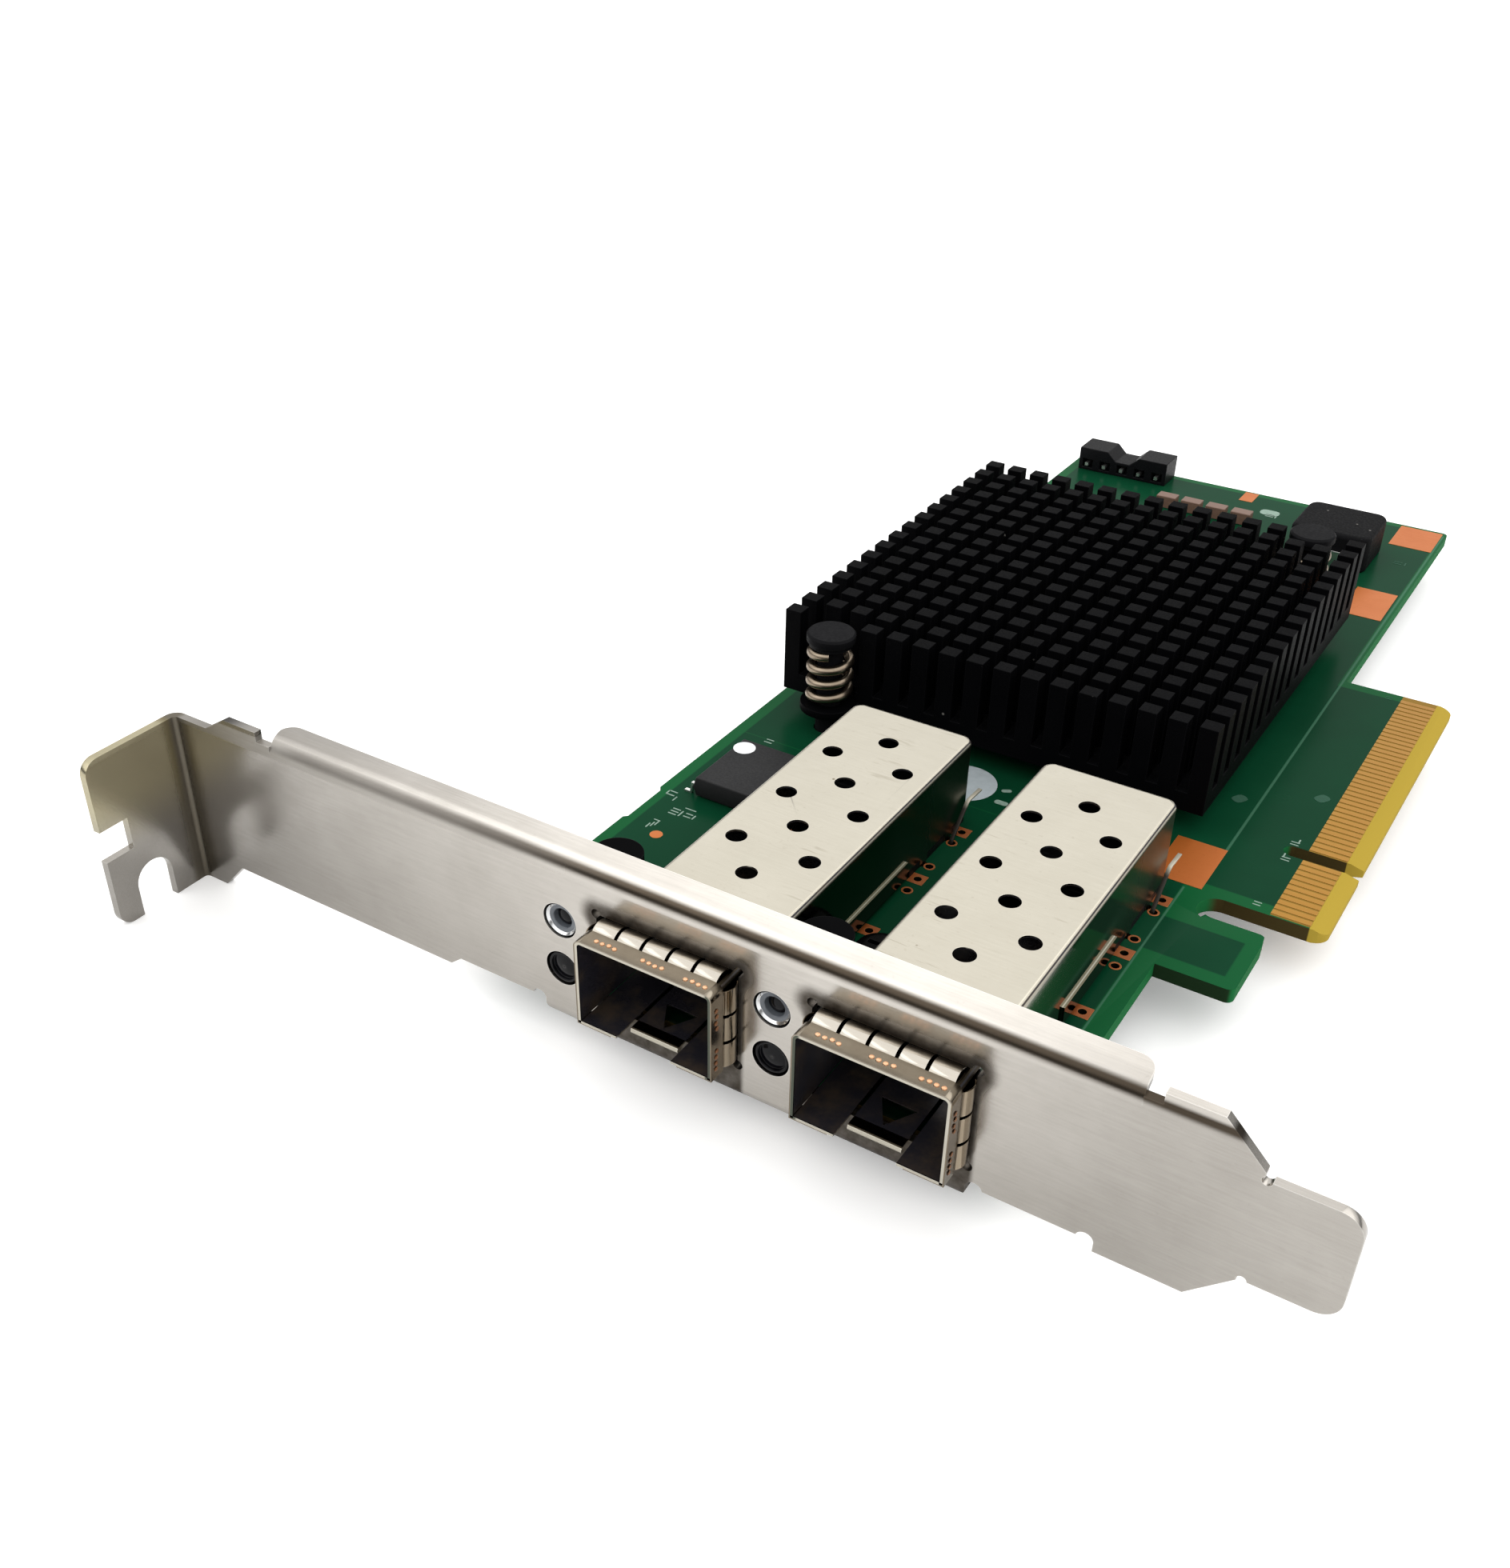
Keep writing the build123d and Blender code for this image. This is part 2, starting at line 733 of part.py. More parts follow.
# Contacts of the board connector: springs on both faces of the slot and tails on the board.
def connector_contacts(x):
    low = board_top + card_slot_rise
    high = low + card_slot_height
    rear = socket_front + socket_depth
    parts = []
    for i in range(spring_contact_count):
        place = x + (i - (spring_contact_count - 1) / 2) * spring_contact_pitch
        x0 = place - spring_contact_width / 2
        x1 = place + spring_contact_width / 2
        y0 = socket_front + card_slot_depth - spring_contact_length
        y1 = socket_front + card_slot_depth
        parts.append(block(x0, x1, y0, y1, low, low + spring_contact_sheet))
        parts.append(block(x0, x1, y0, y1, high - spring_contact_sheet, high))
        for tail in (rear, socket_front - tail_length):
            parts.append(block(x0, x1, tail, tail + tail_length, board_top, board_top + spring_contact_sheet))
    return Compound(children=parts)


# Lamp holder: a black block with a rounded back and two bores for the lamps.
def lamp_holder(x):
    front = bracket_sheet + holder_gap
    half = holder_width / 2
    plan = flat(x - half, x + half, front, front + holder_length)
    plan += Pos(x, front + holder_length) * Circle(half)
    body = level(plan, board_top, holder_top)
    bore = Circle(lamp_diameter / 2 + lamp_bore_gap)
    for z in (lamp_low_z, lamp_high_z):
        body -= upright(Pos(x, z) * bore, front - 1, lamp_set_back + lamp_length)
    return body


# Lamp seen in the bracket hole: a barrel with a raised rim round a domed window.
def lamp(x, z):
    radius = lamp_diameter / 2
    window = radius - lamp_rim
    dome_rise = lamp_recess * 2 / 3
    dome_radius = (window**2 + dome_rise**2) / (2 * dome_rise)
    dome_top = lamp_recess - dome_rise
    dome_middle = dome_top + dome_radius - sqrt(dome_radius**2 - (window / 2) ** 2)
    profile = make_face(
        [
            Line((0, lamp_length), (radius, lamp_length)),
            Line((radius, lamp_length), (radius, 0)),
            Line((radius, 0), (window, 0)),
            Line((window, 0), (window, lamp_recess)),
            ThreePointArc((window, lamp_recess), (window / 2, dome_middle), (0, dome_top)),
            Line((0, dome_top), (0, lamp_length)),
        ]
    )
    return Pos(x, lamp_set_back, z) * revolve(profile, axis=Axis.Y)


# Pan-head screw with a cross recess, through the board and into the bracket's tongue.
def bracket_screw(x, y):
    head = screw_head / 2
    shaft = screw_shaft / 2
    tip = tongue_low - screw_overrun
    top = board_top + screw_head_height
    profile = polygon(
        (0, tip), (shaft - 0.3, tip), (shaft, tip + 0.3), (shaft, board_top), (head, board_top),
        (head, top - screw_head_height * 0.5), (head * 0.85, top - screw_head_height * 0.2),
        (head * 0.55, top), (0, top),
    )
    screw = revolve(Plane.XZ * profile, axis=Axis.Z)
    for turn in (0, 90):
        screw -= Pos(0, 0, top) * Rot(0, 0, turn) * Box(screw_head * 0.5, 0.6, screw_head_height * 0.9)
    return Pos(x, y, 0) * screw


def bracket_screws():
    return Compound(children=[bracket_screw(x, y) for x, y in screw_places])


# Left and front edges of one fin of the heatsink.
def fin_place(i, k):
    return sink_left + i * fin_pitch_x, sink_front + k * fin_pitch_y


# Whether a fin stands in the way of a push pin or its spring.
def fin_blocked(i, k):
    left, front = fin_place(i, k)
    for x, y in push_places:
        aside = max(left - x, 0, x - left - fin_width)
        along = max(front - y, 0, y - front - fin_depth)
        if hypot(aside, along) < push_head / 2 + fin_clearance:
            return True
    return False


# Heatsink: a block cross-cut into square fins, with an ear for each push pin.
def heatsink():
    body = block(sink_left, sink_right, sink_front, sink_rear, sink_low, sink_top)
    low = sink_base_top
    high = sink_top + 1
    cuts = []
    for i in range(fin_count_x - 1):
        left, front = fin_place(i, 0)
        cuts.append(block(left + fin_width, left + fin_pitch_x, sink_front - 1, sink_rear + 1, low, high))
    for k in range(fin_count_y - 1):
        left, front = fin_place(0, k)
        cuts.append(block(sink_left - 1, sink_right + 1, front + fin_depth, front + fin_pitch_y, low, high))
    for i in range(fin_count_x):
        for k in range(fin_count_y):
            if fin_blocked(i, k):
                left, front = fin_place(i, k)
                cuts.append(
                    block(left - 0.5, left + fin_width + 0.5, front - 0.5, front + fin_depth + 0.5, low, high)
                )
    # The base is cut back round the springs, which stand on the thin ears
    for x, y in push_places:
        cuts.append(drill(x, y, spring_outside + 2 * spring_pocket_gap, sink_ear_top, high))
    body = body - cuts
    ears = Sketch()
    for x, y in push_places:
        ears += Pos(x, y) * Circle(sink_ear_radius)
        ears += flat(x - sink_ear_radius, x + sink_ear_radius, min(y, sink_y), max(y, sink_y))
    body += level(ears, sink_low, sink_ear_top)
    for x, y in push_places:
        body -= drill(x, y, push_shaft + 2 * push_hole_gap, sink_low - 1, sink_base_top + 1)
    return body


# Push pin: head, collar and shaft, ending in a split barb that catches under the board.
def push_pin(x, y):
    shaft = push_shaft / 2
    barb = push_barb / 2
    head = push_head / 2
    collar = push_collar / 2
    barb_top = board_rise - 0.1
    tip = barb_top - push_barb_height
    head_low = push_top - push_head_height
    collar_low = head_low - push_collar_height
    profile = polygon(
        (0, tip), (barb * 0.4, tip), (barb, barb_top - 1.2), (barb, barb_top - 0.5), (shaft, barb_top),
        (shaft, collar_low), (collar, collar_low), (collar, head_low), (head, head_low),
        (head, push_top - 0.25), (head - 0.25, push_top), (0, push_top),
    )
    pin = revolve(Plane.XZ * profile, axis=Axis.Z)
    pin -= block(-push_slit / 2, push_slit / 2, -barb - 1, barb + 1, tip - 1, barb_top + 0.8)
    return Pos(x, y, 0) * pin


# Coil spring between the heatsink's ear and the push pin's collar.
def pin_spring(x, y):
    low = sink_ear_top + spring_wire / 2
    high = push_top - push_head_height - push_collar_height - spring_wire / 2
    radius = (spring_outside - spring_wire) / 2
    coil = Helix(pitch=(high - low) / spring_turns, height=high - low, radius=radius)
    section = Plane(origin=coil @ 0, z_dir=coil % 0) * RegularPolygon(spring_wire / 2, spring_facets)
    return Pos(x, y, low) * sweep(section, path=coil, is_frenet=True)


# Controller: a substrate with a thick lid.
def controller_chip():
    half = chip_size / 2
    lid = chip_lid / 2
    lid_low = board_top + chip_substrate
    lid_top = board_top + chip_height
    body = block(sink_x - half, sink_x + half, sink_y - half, sink_y + half, board_top, lid_low)
    return body + block(sink_x - lid, sink_x + lid, sink_y - lid, sink_y + lid, lid_low, lid_top)


def thermal_pad():
    half = pad_size / 2
    return block(
        sink_x - half, sink_x + half, sink_y - half, sink_y + half, sink_low - pad_thickness, sink_low
    )


# Moulded body of the memory chip: both halves taper away from the lead plane.
def flash_chip():
    low = board_top + flash_lift
    middle = low + flash_height / 2
    high = low + flash_height
    draft = 0.25
    half_x = flash_width / 2
    half_y = flash_length / 2
    mid = Plane.XY.offset(middle) * (Pos(flash_x, flash_y) * Rectangle(2 * half_x, 2 * half_y))
    ends = []
    for z in (low, high):
        end = Pos(flash_x, flash_y) * Rectangle(2 * (half_x - draft), 2 * (half_y - draft))
        ends.append(Plane.XY.offset(z) * end)
    return loft([ends[0], mid]) + loft([mid, ends[1]])


# Gull-wing leads of the memory chip, on both long sides.
def flash_leads():
    middle = board_top + flash_lift + flash_height / 2
    half = flash_width / 2
    knee = half + 0.5
    toe = half + lead_reach
    heel = toe - lead_foot
    low = board_top
    section = polygon(
        (half, middle - lead_sheet / 2), (knee - 0.2, middle - lead_sheet / 2), (heel - 0.1, low),
        (toe, low), (toe, low + lead_sheet), (heel + 0.1, low + lead_sheet),
        (knee, middle + lead_sheet / 2), (half, middle + lead_sheet / 2),
    )
    leads = []
    for i in range(lead_count):
        y = flash_y + (i - (lead_count - 1) / 2) * lead_pitch
        lead = upright(section, -lead_width / 2, lead_width / 2)
        leads.append(Pos(flash_x, y, 0) * lead)
        leads.append(Pos(flash_x, y, 0) * Rot(0, 0, 180) * lead)
    return Compound(children=leads)


# Moulded power inductor with rounded corners.
def power_inductor():
    half_x = coil_width / 2
    half_y = coil_length / 2
    plan = flat(coil_x - half_x, coil_x + half_x, coil_y - half_y, coil_y + half_y)
    plan = rounded(
        plan, coil_corner, (coil_x - half_x, coil_y - half_y), (coil_x + half_x, coil_y - half_y),
        (coil_x - half_x, coil_y + half_y), (coil_x + half_x, coil_y + half_y),
    )
    body = level(plan, board_top, board_top + coil_height)
    return chamfer(body.faces().sort_by(Axis.Z)[-1].edges(), 0.4)


# Terminal strips folded up against the inductor's front and rear faces.
def inductor_terminals():
    strips = []
    half = coil_terminal_width / 2
    for y0 in (coil_y - coil_length / 2 - coil_terminal_sheet, coil_y + coil_length / 2):
        top = board_top + coil_terminal_rise
        strips.append(block(coil_x - half, coil_x + half, y0, y0 + coil_terminal_sheet, board_top, top))
    return Compound(children=strips)


# Header at the rear corner: a long block with two raised ears and a ribbed front.
def rear_header():
    half = header_width / 2
    rear = board_rear - header_rear_gap
    front = rear - header_depth
    top = board_top + header_height
    ear_top = top + header_ear_rise
    ear = half - header_ear_width
    outline = polygon(
        (-half, board_top), (half, board_top), (half, ear_top), (ear, ear_top), (ear - header_ear_slope, top),
        (header_ear_slope - ear, top), (-ear, ear_top), (-half, ear_top),
    )
    body = upright(Pos(header_x, 0) * outline, front, rear)
    pitch = header_width / header_rib_count
    low = board_top + header_rib_margin
    high = top - header_rib_margin
    for i in range(header_rib_count):
        x0 = header_x - half + header_rib / 2 + i * pitch
        body -= block(x0, x0 + pitch - header_rib, front - 1, front + header_rib_depth, low, high)
    return body


# Pins of the header, seated in its front openings.
def header_pins():
    half = header_width / 2
    front = board_rear - header_rear_gap - header_depth
    pitch = header_width / header_rib_count
    middle = board_top + header_height / 2
    pins = []
    for i in range(header_rib_count):
        x = header_x - half + (i + 0.5) * pitch
        pins.append(
            block(x - header_pin / 2, x + header_pin / 2, front + header_rib_depth - header_pin_length,
                  front + header_rib_depth, middle - header_pin / 2, middle + header_pin / 2)
        )
    return Compound(children=pins)


# A row of chip capacitors in front of the header.
def rear_capacitors():
    parts = []
    for i in range(rear_cap_count):
        x = rear_cap_x + i * rear_cap_pitch
        parts.append(
            block(x - rear_cap_length / 2, x + rear_cap_length / 2, rear_cap_y - rear_cap_width / 2,
                  rear_cap_y + rear_cap_width / 2, board_top, board_top + rear_cap_height)
        )
    return Compound(children=parts)


# Small capacitors on the underside, below the controller.
def under_capacitors():
    parts = []
    for i in range(under_cap_count):
        for k in range(under_cap_count):
            x = sink_x + (i - (under_cap_count - 1) / 2) * under_cap_pitch
            y = sink_y + (k - (under_cap_count - 1) / 2) * under_cap_pitch
            parts.append(
                block(x - small_cap_length / 2, x + small_cap_length / 2, y - small_cap_width / 2,
                      y + small_cap_width / 2, board_rise - small_cap_height, board_rise)
            )
    return Compound(children=parts)


# Every piece by name, in the frame of the bracket.
def all_pieces():
    pieces = {
        "bracket": bracket(),
        "circuit_board": circuit_board(),
        "edge_contacts": edge_contacts(),
        "copper_patches": copper_patches(),
        "bracket_screws": bracket_screws(),
        "heatsink": heatsink(),
        "controller_chip": controller_chip(),
        "thermal_pad": thermal_pad(),
        "flash_chip": flash_chip(),
        "flash_leads": flash_leads(),
        "power_inductor": power_inductor(),
        "inductor_terminals": inductor_terminals(),
        "rear_header": rear_header(),
        "header_pins": header_pins(),
        "rear_capacitors": rear_capacitors(),
        "under_capacitors": under_capacitors(),
    }
    for side, x in zip(("left", "right"), cage_places):
        pieces["port_cage_" + side] = port_cage(x)
        pieces["cage_floor_" + side] = cage_floor(x)
        pieces["spring_collar_" + side] = spring_collar(x)
        pieces["port_connector_" + side] = port_connector(x)
        pieces["connector_contacts_" + side] = connector_contacts(x)
    for side, x in (("left", lamp_left_x), ("right", lamp_right_x)):
        pieces["lamp_holder_" + side] = lamp_holder(x)
        pieces["upper_lamp_" + side] = lamp(x, lamp_high_z)
        pieces["lower_lamp_" + side] = lamp(x, lamp_low_z)
    for place, (x, y) in zip(("front", "rear"), push_places):
        pieces["push_pin_" + place] = push_pin(x, y)
        pieces["pin_spring_" + place] = pin_spring(x, y)
    return pieces


# The origin moves to the middle of the footprint, at the lowest point of the bracket's tab.
os.makedirs("parts", exist_ok=True)
to_origin = Pos(-bracket_length / 2, -(board_rear - tab_length) / 2, tab_drop)
for name, piece in all_pieces().items():
    export_step(to_origin * piece, f"parts/{name}.step")
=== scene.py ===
import math
import random

import bpy
from mathutils import Matrix, Vector


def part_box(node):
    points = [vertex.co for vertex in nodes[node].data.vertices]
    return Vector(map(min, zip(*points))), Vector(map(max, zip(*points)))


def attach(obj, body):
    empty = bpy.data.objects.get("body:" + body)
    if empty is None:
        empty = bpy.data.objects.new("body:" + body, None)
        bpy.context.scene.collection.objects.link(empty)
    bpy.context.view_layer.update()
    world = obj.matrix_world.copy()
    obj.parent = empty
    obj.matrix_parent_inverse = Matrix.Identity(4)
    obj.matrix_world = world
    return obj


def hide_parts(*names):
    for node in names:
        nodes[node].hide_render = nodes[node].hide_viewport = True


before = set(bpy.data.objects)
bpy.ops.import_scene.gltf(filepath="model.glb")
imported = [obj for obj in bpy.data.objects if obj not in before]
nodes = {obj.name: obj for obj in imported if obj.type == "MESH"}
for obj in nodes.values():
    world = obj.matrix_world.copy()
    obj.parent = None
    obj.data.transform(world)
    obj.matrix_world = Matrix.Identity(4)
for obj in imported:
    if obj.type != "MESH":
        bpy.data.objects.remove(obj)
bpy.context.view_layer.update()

print("frame loaded:", len(nodes), "CAD nodes")

# Places below are in millimetres on the card: x along the bracket from its tab,
# y into the board from the bracket's face, z up from the bracket's lower edge.
card = {"tabReach": 11.43, "tabDrop": 3.17, "boardTop": 3.11, "cageMiddles": (61.3, 83.2), "cageRear": 46.36}
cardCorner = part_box("bracket")[0] + Vector((0, card["tabReach"], card["tabDrop"])) / 1000


def at(x, y, z):
    return cardCorner + Vector((x, y, z)) / 1000


def mm(value):
    return value / 1000


# helpers for modelling

def clearSelection():
    if bpy.context.object and bpy.context.object.mode != "OBJECT":
        bpy.ops.object.mode_set(mode="OBJECT")
    bpy.ops.object.select_all(action="DESELECT")


def pick(piece):
    clearSelection()
    piece.select_set(True)
    bpy.context.view_layer.objects.active = piece


def editAll():
    bpy.ops.object.mode_set(mode="EDIT")
    bpy.ops.mesh.select_all(action="SELECT")


def leaveEdit():
    bpy.ops.object.mode_set(mode="OBJECT")


def editPart(piece, kind, wanted):
    # goes into edit mode with only the wanted corners, edges or faces selected
    pick(piece)
    bpy.ops.object.mode_set(mode="EDIT")
    bpy.ops.mesh.select_mode(type=kind)
    bpy.ops.mesh.select_all(action="DESELECT")
    leaveEdit()
    mesh = piece.data
    for part in {"VERT": mesh.vertices, "EDGE": mesh.edges, "FACE": mesh.polygons}[kind]:
        part.select = bool(wanted(part))
    bpy.ops.object.mode_set(mode="EDIT")


def extrudeBy(x, y, z):
    # in edit mode, in millimetres
    bpy.ops.mesh.extrude_region_move(TRANSFORM_OT_translate={"value": (mm(x), mm(y), mm(z))})


def closeMesh():
    # turns all faces outwards and leaves edit mode
    bpy.ops.mesh.select_all(action="SELECT")
    bpy.ops.mesh.normals_make_consistent(inside=False)
    leaveEdit()


def applyPlace(piece):
    pick(piece)
    bpy.ops.object.transform_apply(location=True, rotation=True, scale=True)


def addPiece(add, scale=(1, 1, 1), **values):
    # a primitive with its place, turn and scale applied
    clearSelection()
    add(**values)
    piece = bpy.context.object
    piece.scale = scale
    applyPlace(piece)
    return piece


def applyModifier(piece, kind, **values):
    pick(piece)
    made = piece.modifiers.new(kind.title(), kind)
    for name, value in values.items():
        setattr(made, name, value)
    bpy.ops.object.modifier_apply(modifier=made.name)


def addBevel(piece, width, segments=2, angle=40):
    applyModifier(piece, "BEVEL", width=mm(width), segments=segments,
                  limit_method="ANGLE", angle_limit=math.radians(angle))


def smooth(piece, angle):
    pick(piece)
    bpy.ops.object.shade_smooth_by_angle(angle=math.radians(angle))


def finishPiece(piece, name, material, slotName, *standsFor):
    piece.name = name
    piece.data.name = name
    piece.data.materials.clear()
    piece.data.materials.append(material)
    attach(piece, "root")
    if standsFor:
        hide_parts(*standsFor)


def joinPieces(parts):
    clearSelection()
    for part in parts:
        part.select_set(True)
    bpy.context.view_layer.objects.active = parts[0]
    bpy.ops.object.join()
    return parts[0]


def copyOf(model):
    # a copy with its own mesh
    twin = model.copy()
    twin.data = model.data.copy()
    bpy.context.scene.collection.objects.link(twin)
    return twin


# helpers for materials

class Wire:
    # the output of a node, which can be added, subtracted and multiplied
    def __init__(self, socket):
        self.socket = socket
        self.tree = socket.id_data

    def __add__(self, other):
        return mathNode("ADD", self, other)

    def __sub__(self, other):
        return mathNode("SUBTRACT", self, other)

    def __rsub__(self, other):
        return mathNode("SUBTRACT", other, self)

    def __mul__(self, other):
        return mathNode("MULTIPLY", self, other)

    def __abs__(self):
        return mathNode("ABSOLUTE", self)


def addNode(tree, kind, **values):
    made = tree.nodes.new(kind)
    for name, value in values.items():
        setattr(made, name, value)
    return made


def source(tree, kind, output):
    return Wire(addNode(tree, kind).outputs[output])


def feed(socket, value):
    # a wire is linked to the socket, a number or a colour is set on it
    if isinstance(value, Wire):
        value.tree.links.new(value.socket, socket)
    else:
        socket.default_value = (*value, 1.0) if isinstance(value, tuple) else value


def treeOf(*values):
    return next(value.tree for value in values if isinstance(value, Wire))


def mathNode(operation, *values, clamp=False):
    made = addNode(treeOf(*values), "ShaderNodeMath", operation=operation, use_clamp=clamp)
    for socket, value in zip(made.inputs, values):
        feed(socket, value)
    return Wire(made.outputs[0])


def most(first, *others):
    for other in others:
        first = mathNode("MAXIMUM", first, other)
    return first


def under(value, limit):
    return mathNode("LESS_THAN", value, mm(limit))


def over(value, limit):
    return mathNode("GREATER_THAN", value, mm(limit))


def offMiddle(value, middle):
    return abs(value - mm(middle))


def rangeNode(value, low, high, outLow=0.0, outHigh=1.0, kind="SMOOTHSTEP"):
    made = addNode(value.tree, "ShaderNodeMapRange", interpolation_type=kind)
    names = ("Value", "From Min", "From Max", "To Min", "To Max")
    for name, number in zip(names, (value, low, high, outLow, outHigh)):
        feed(made.inputs[name], number)
    return Wire(made.outputs["Result"])


def span(value, ends, *values):
    # changes from the first place to the second, both in millimetres
    return rangeNode(value, mm(ends[0]), mm(ends[1]), *values)


def slab(value, low, high, soft):
    # a mask between two places in millimetres, with soft ends inside them
    return span(value, (low, low + soft)) * span(value, (high, high - soft))


def mixColor(factor, a, b, blend="MIX"):
    made = addNode(treeOf(factor, a, b), "ShaderNodeMix", data_type="RGBA", blend_type=blend)
    for index, value in ((0, factor), (6, a), (7, b)):
        feed(made.inputs[index], value)
    return Wire(made.outputs[2])


def tinted(mask, tone, tint):
    # multiplies the tone by the tint where the mask is
    return mixColor(mask, tone, mixColor(1.0, tone, tint, "MULTIPLY"))


def noiseNode(vector, scale, detail, rough):
    made = addNode(vector.tree, "ShaderNodeTexNoise")
    for name, value in (("Vector", vector), ("Scale", scale), ("Detail", detail), ("Roughness", rough)):
        feed(made.inputs[name], value)
    return Wire(made.outputs["Fac"])


def stretched(vector, amounts, turn=0):
    made = addNode(vector.tree, "ShaderNodeMapping")
    feed(made.inputs["Vector"], vector)
    made.inputs["Rotation"].default_value = (0, 0, math.radians(turn))
    made.inputs["Scale"].default_value = amounts
    return Wire(made.outputs["Vector"])


def splitPlace(place):
    apart = addNode(place.tree, "ShaderNodeSeparateXYZ")
    feed(apart.inputs[0], place)
    return [Wire(output) for output in apart.outputs]


def cardPlace(place):
    # across, along and rise, counted from the card's corner
    return [part - corner for part, corner in zip(splitPlace(place), cardCorner)]


def facing(tree):
    return splitPlace(source(tree, "ShaderNodeNewGeometry", "Normal"))


# effects that several materials share, each built once as a node group

def startGroup(name, inputs, outputs):
    group = bpy.data.node_groups.new(name, "ShaderNodeTree")
    group.interface.new_socket(name="Vector", in_out="INPUT", socket_type="NodeSocketVector")
    for label, value in inputs.items():
        made = group.interface.new_socket(name=label, in_out="INPUT", socket_type="NodeSocketFloat")
        made.default_value = value
    for label in outputs:
        group.interface.new_socket(name=label, in_out="OUTPUT", socket_type="NodeSocketFloat")
    given = addNode(group, "NodeGroupInput", location=(-900, 0)).outputs
    wanted = addNode(group, "NodeGroupOutput", location=(900, 0)).inputs
    return group, [Wire(output) for output in given[:len(inputs) + 1]], wanted


def useGroup(group, *values):
    made = addNode(treeOf(*values), "ShaderNodeGroup", node_tree=group)
    for socket, value in zip(made.inputs, values):
        feed(socket, value)
    return [Wire(output) for output in made.outputs]


grainLook = {
    # noise scale, detail and roughness of each part
    "stretch": (220, 4200, 4200), "streaks": (1.0, 5.0, 0.65), "clouds": (160.0, 4.0, 0.6),
    "fine": (6500.0, 2.0, 0.5), "fineShare": 0.25, "pits": (2600.0, 2.0, 0.5), "pitEdge": (0.66, 0.74),
}


def makeSheetGrain():
    # rolled-sheet grain: long faint streaks, cloudy patches and pits
    look = grainLook
    inputs = {"Streaks": 0.5, "Clouds": 0.5, "Pits": 0.3}
    group, (vector, streaks, clouds, pits), wanted = startGroup("sheetGrain", inputs, ("Tone", "Height"))
    long = noiseNode(stretched(vector, look["stretch"]), *look["streaks"]) - 0.5
    cloudy = noiseNode(vector, *look["clouds"]) - 0.5
    pitted = rangeNode(noiseNode(vector, *look["pits"]), *look["pitEdge"])
    tone = mathNode("SUBTRACT", long * streaks + cloudy * clouds + 0.5, pitted * pits, clamp=True)
    feed(wanted["Tone"], tone)
    feed(wanted["Height"], tone + noiseNode(vector, *look["fine"]) * look["fineShare"])
    return group


rubLook = {"turn": (0.995, 0.90), "wear": (900.0, 3.0, 0.6), "samples": 4}


def makeEdgeRub():
    # brighter where an edge is rubbed, read from a rounded normal against the true one
    look = rubLook
    group, (vector, radius, breakup), wanted = startGroup("edgeRub", {"Radius": 0.0002, "Breakup": 0.5}, ("Mask",))
    rounded = addNode(group, "ShaderNodeBevel", samples=look["samples"])
    feed(rounded.inputs["Radius"], radius)
    dot = addNode(group, "ShaderNodeVectorMath", operation="DOT_PRODUCT")
    feed(dot.inputs[0], Wire(rounded.outputs["Normal"]))
    feed(dot.inputs[1], source(group, "ShaderNodeNewGeometry", "Normal"))
    edge = rangeNode(Wire(dot.outputs["Value"]), *look["turn"])
    wear = noiseNode(vector, *look["wear"]) * breakup
    feed(wanted["Mask"], mathNode("MULTIPLY", edge, 1.0 - wear, clamp=True))
    return group


dustLook = {"scale": 420.0, "edge": (0.09, 0.03)}


def makeDustSpecks():
    look = dustLook
    group, (vector, density), wanted = startGroup("dustSpecks", {"Density": 0.5}, ("Mask",))
    cells = addNode(group, "ShaderNodeTexVoronoi", feature="F1")
    feed(cells.inputs["Vector"], vector)
    feed(cells.inputs["Scale"], look["scale"])
    spot = rangeNode(Wire(cells.outputs["Distance"]), *look["edge"])
    chance = addNode(group, "ShaderNodeSeparateColor")
    feed(chance.inputs["Color"], Wire(cells.outputs["Color"]))
    feed(wanted["Mask"], spot * mathNode("LESS_THAN", Wire(chance.outputs["Red"]), density))
    return group


sheetGrain = makeSheetGrain()
edgeRub = makeEdgeRub()
dustSpecks = makeDustSpecks()


def startMaterial(name):
    material = bpy.data.materials.new(name)
    material.use_nodes = True
    tree = material.node_tree
    return material, tree.nodes["Principled BSDF"], source(tree, "ShaderNodeTexCoord", "Object")


surfaceSockets = {"color": "Base Color", "rough": "Roughness", "metal": "Metallic", "shine": "Specular IOR Level"}


def dress(surface, **values):
    for name, value in values.items():
        feed(surface.inputs[surfaceSockets[name]], value)


def addBump(surface, height, distance):
    bump = addNode(height.tree, "ShaderNodeBump")
    feed(bump.inputs["Strength"], 1.0)
    feed(bump.inputs["Distance"], mm(distance))
    feed(bump.inputs["Height"], height)
    feed(surface.inputs["Normal"], Wire(bump.outputs["Normal"]))


finish = {
    "metalSpan": (0.2, 0.8), "metalBreakup": 0.5,
    "plasticSpan": (0.3, 0.7), "plasticBreakup": 0.6, "plasticGrain": (3.0, 0.6),
    "plasticClouds": (140.0, 3.0, 0.5), "dustShare": 0.35, "dustColor": (0.5, 0.48, 0.44),
}


def metalFinish(name, look):
    # sheet or wire metal: tone, roughness and height all follow the same grain
    material, surface, place = startMaterial(name)
    grain, height = useGroup(sheetGrain, place, *look["grain"])
    rub, = useGroup(edgeRub, place, mm(look["edge"]), finish["metalBreakup"])
    tone = mixColor(rub, mixColor(grain, look["dark"], look["light"]), look["rubbed"])
    rough = rangeNode(grain, *finish["metalSpan"], *look["rough"], "LINEAR")
    dress(surface, color=tone, rough=rough, metal=look.get("metal", 1.0))
    addBump(surface, height, look["relief"])
    return material, surface, place, tone, rough


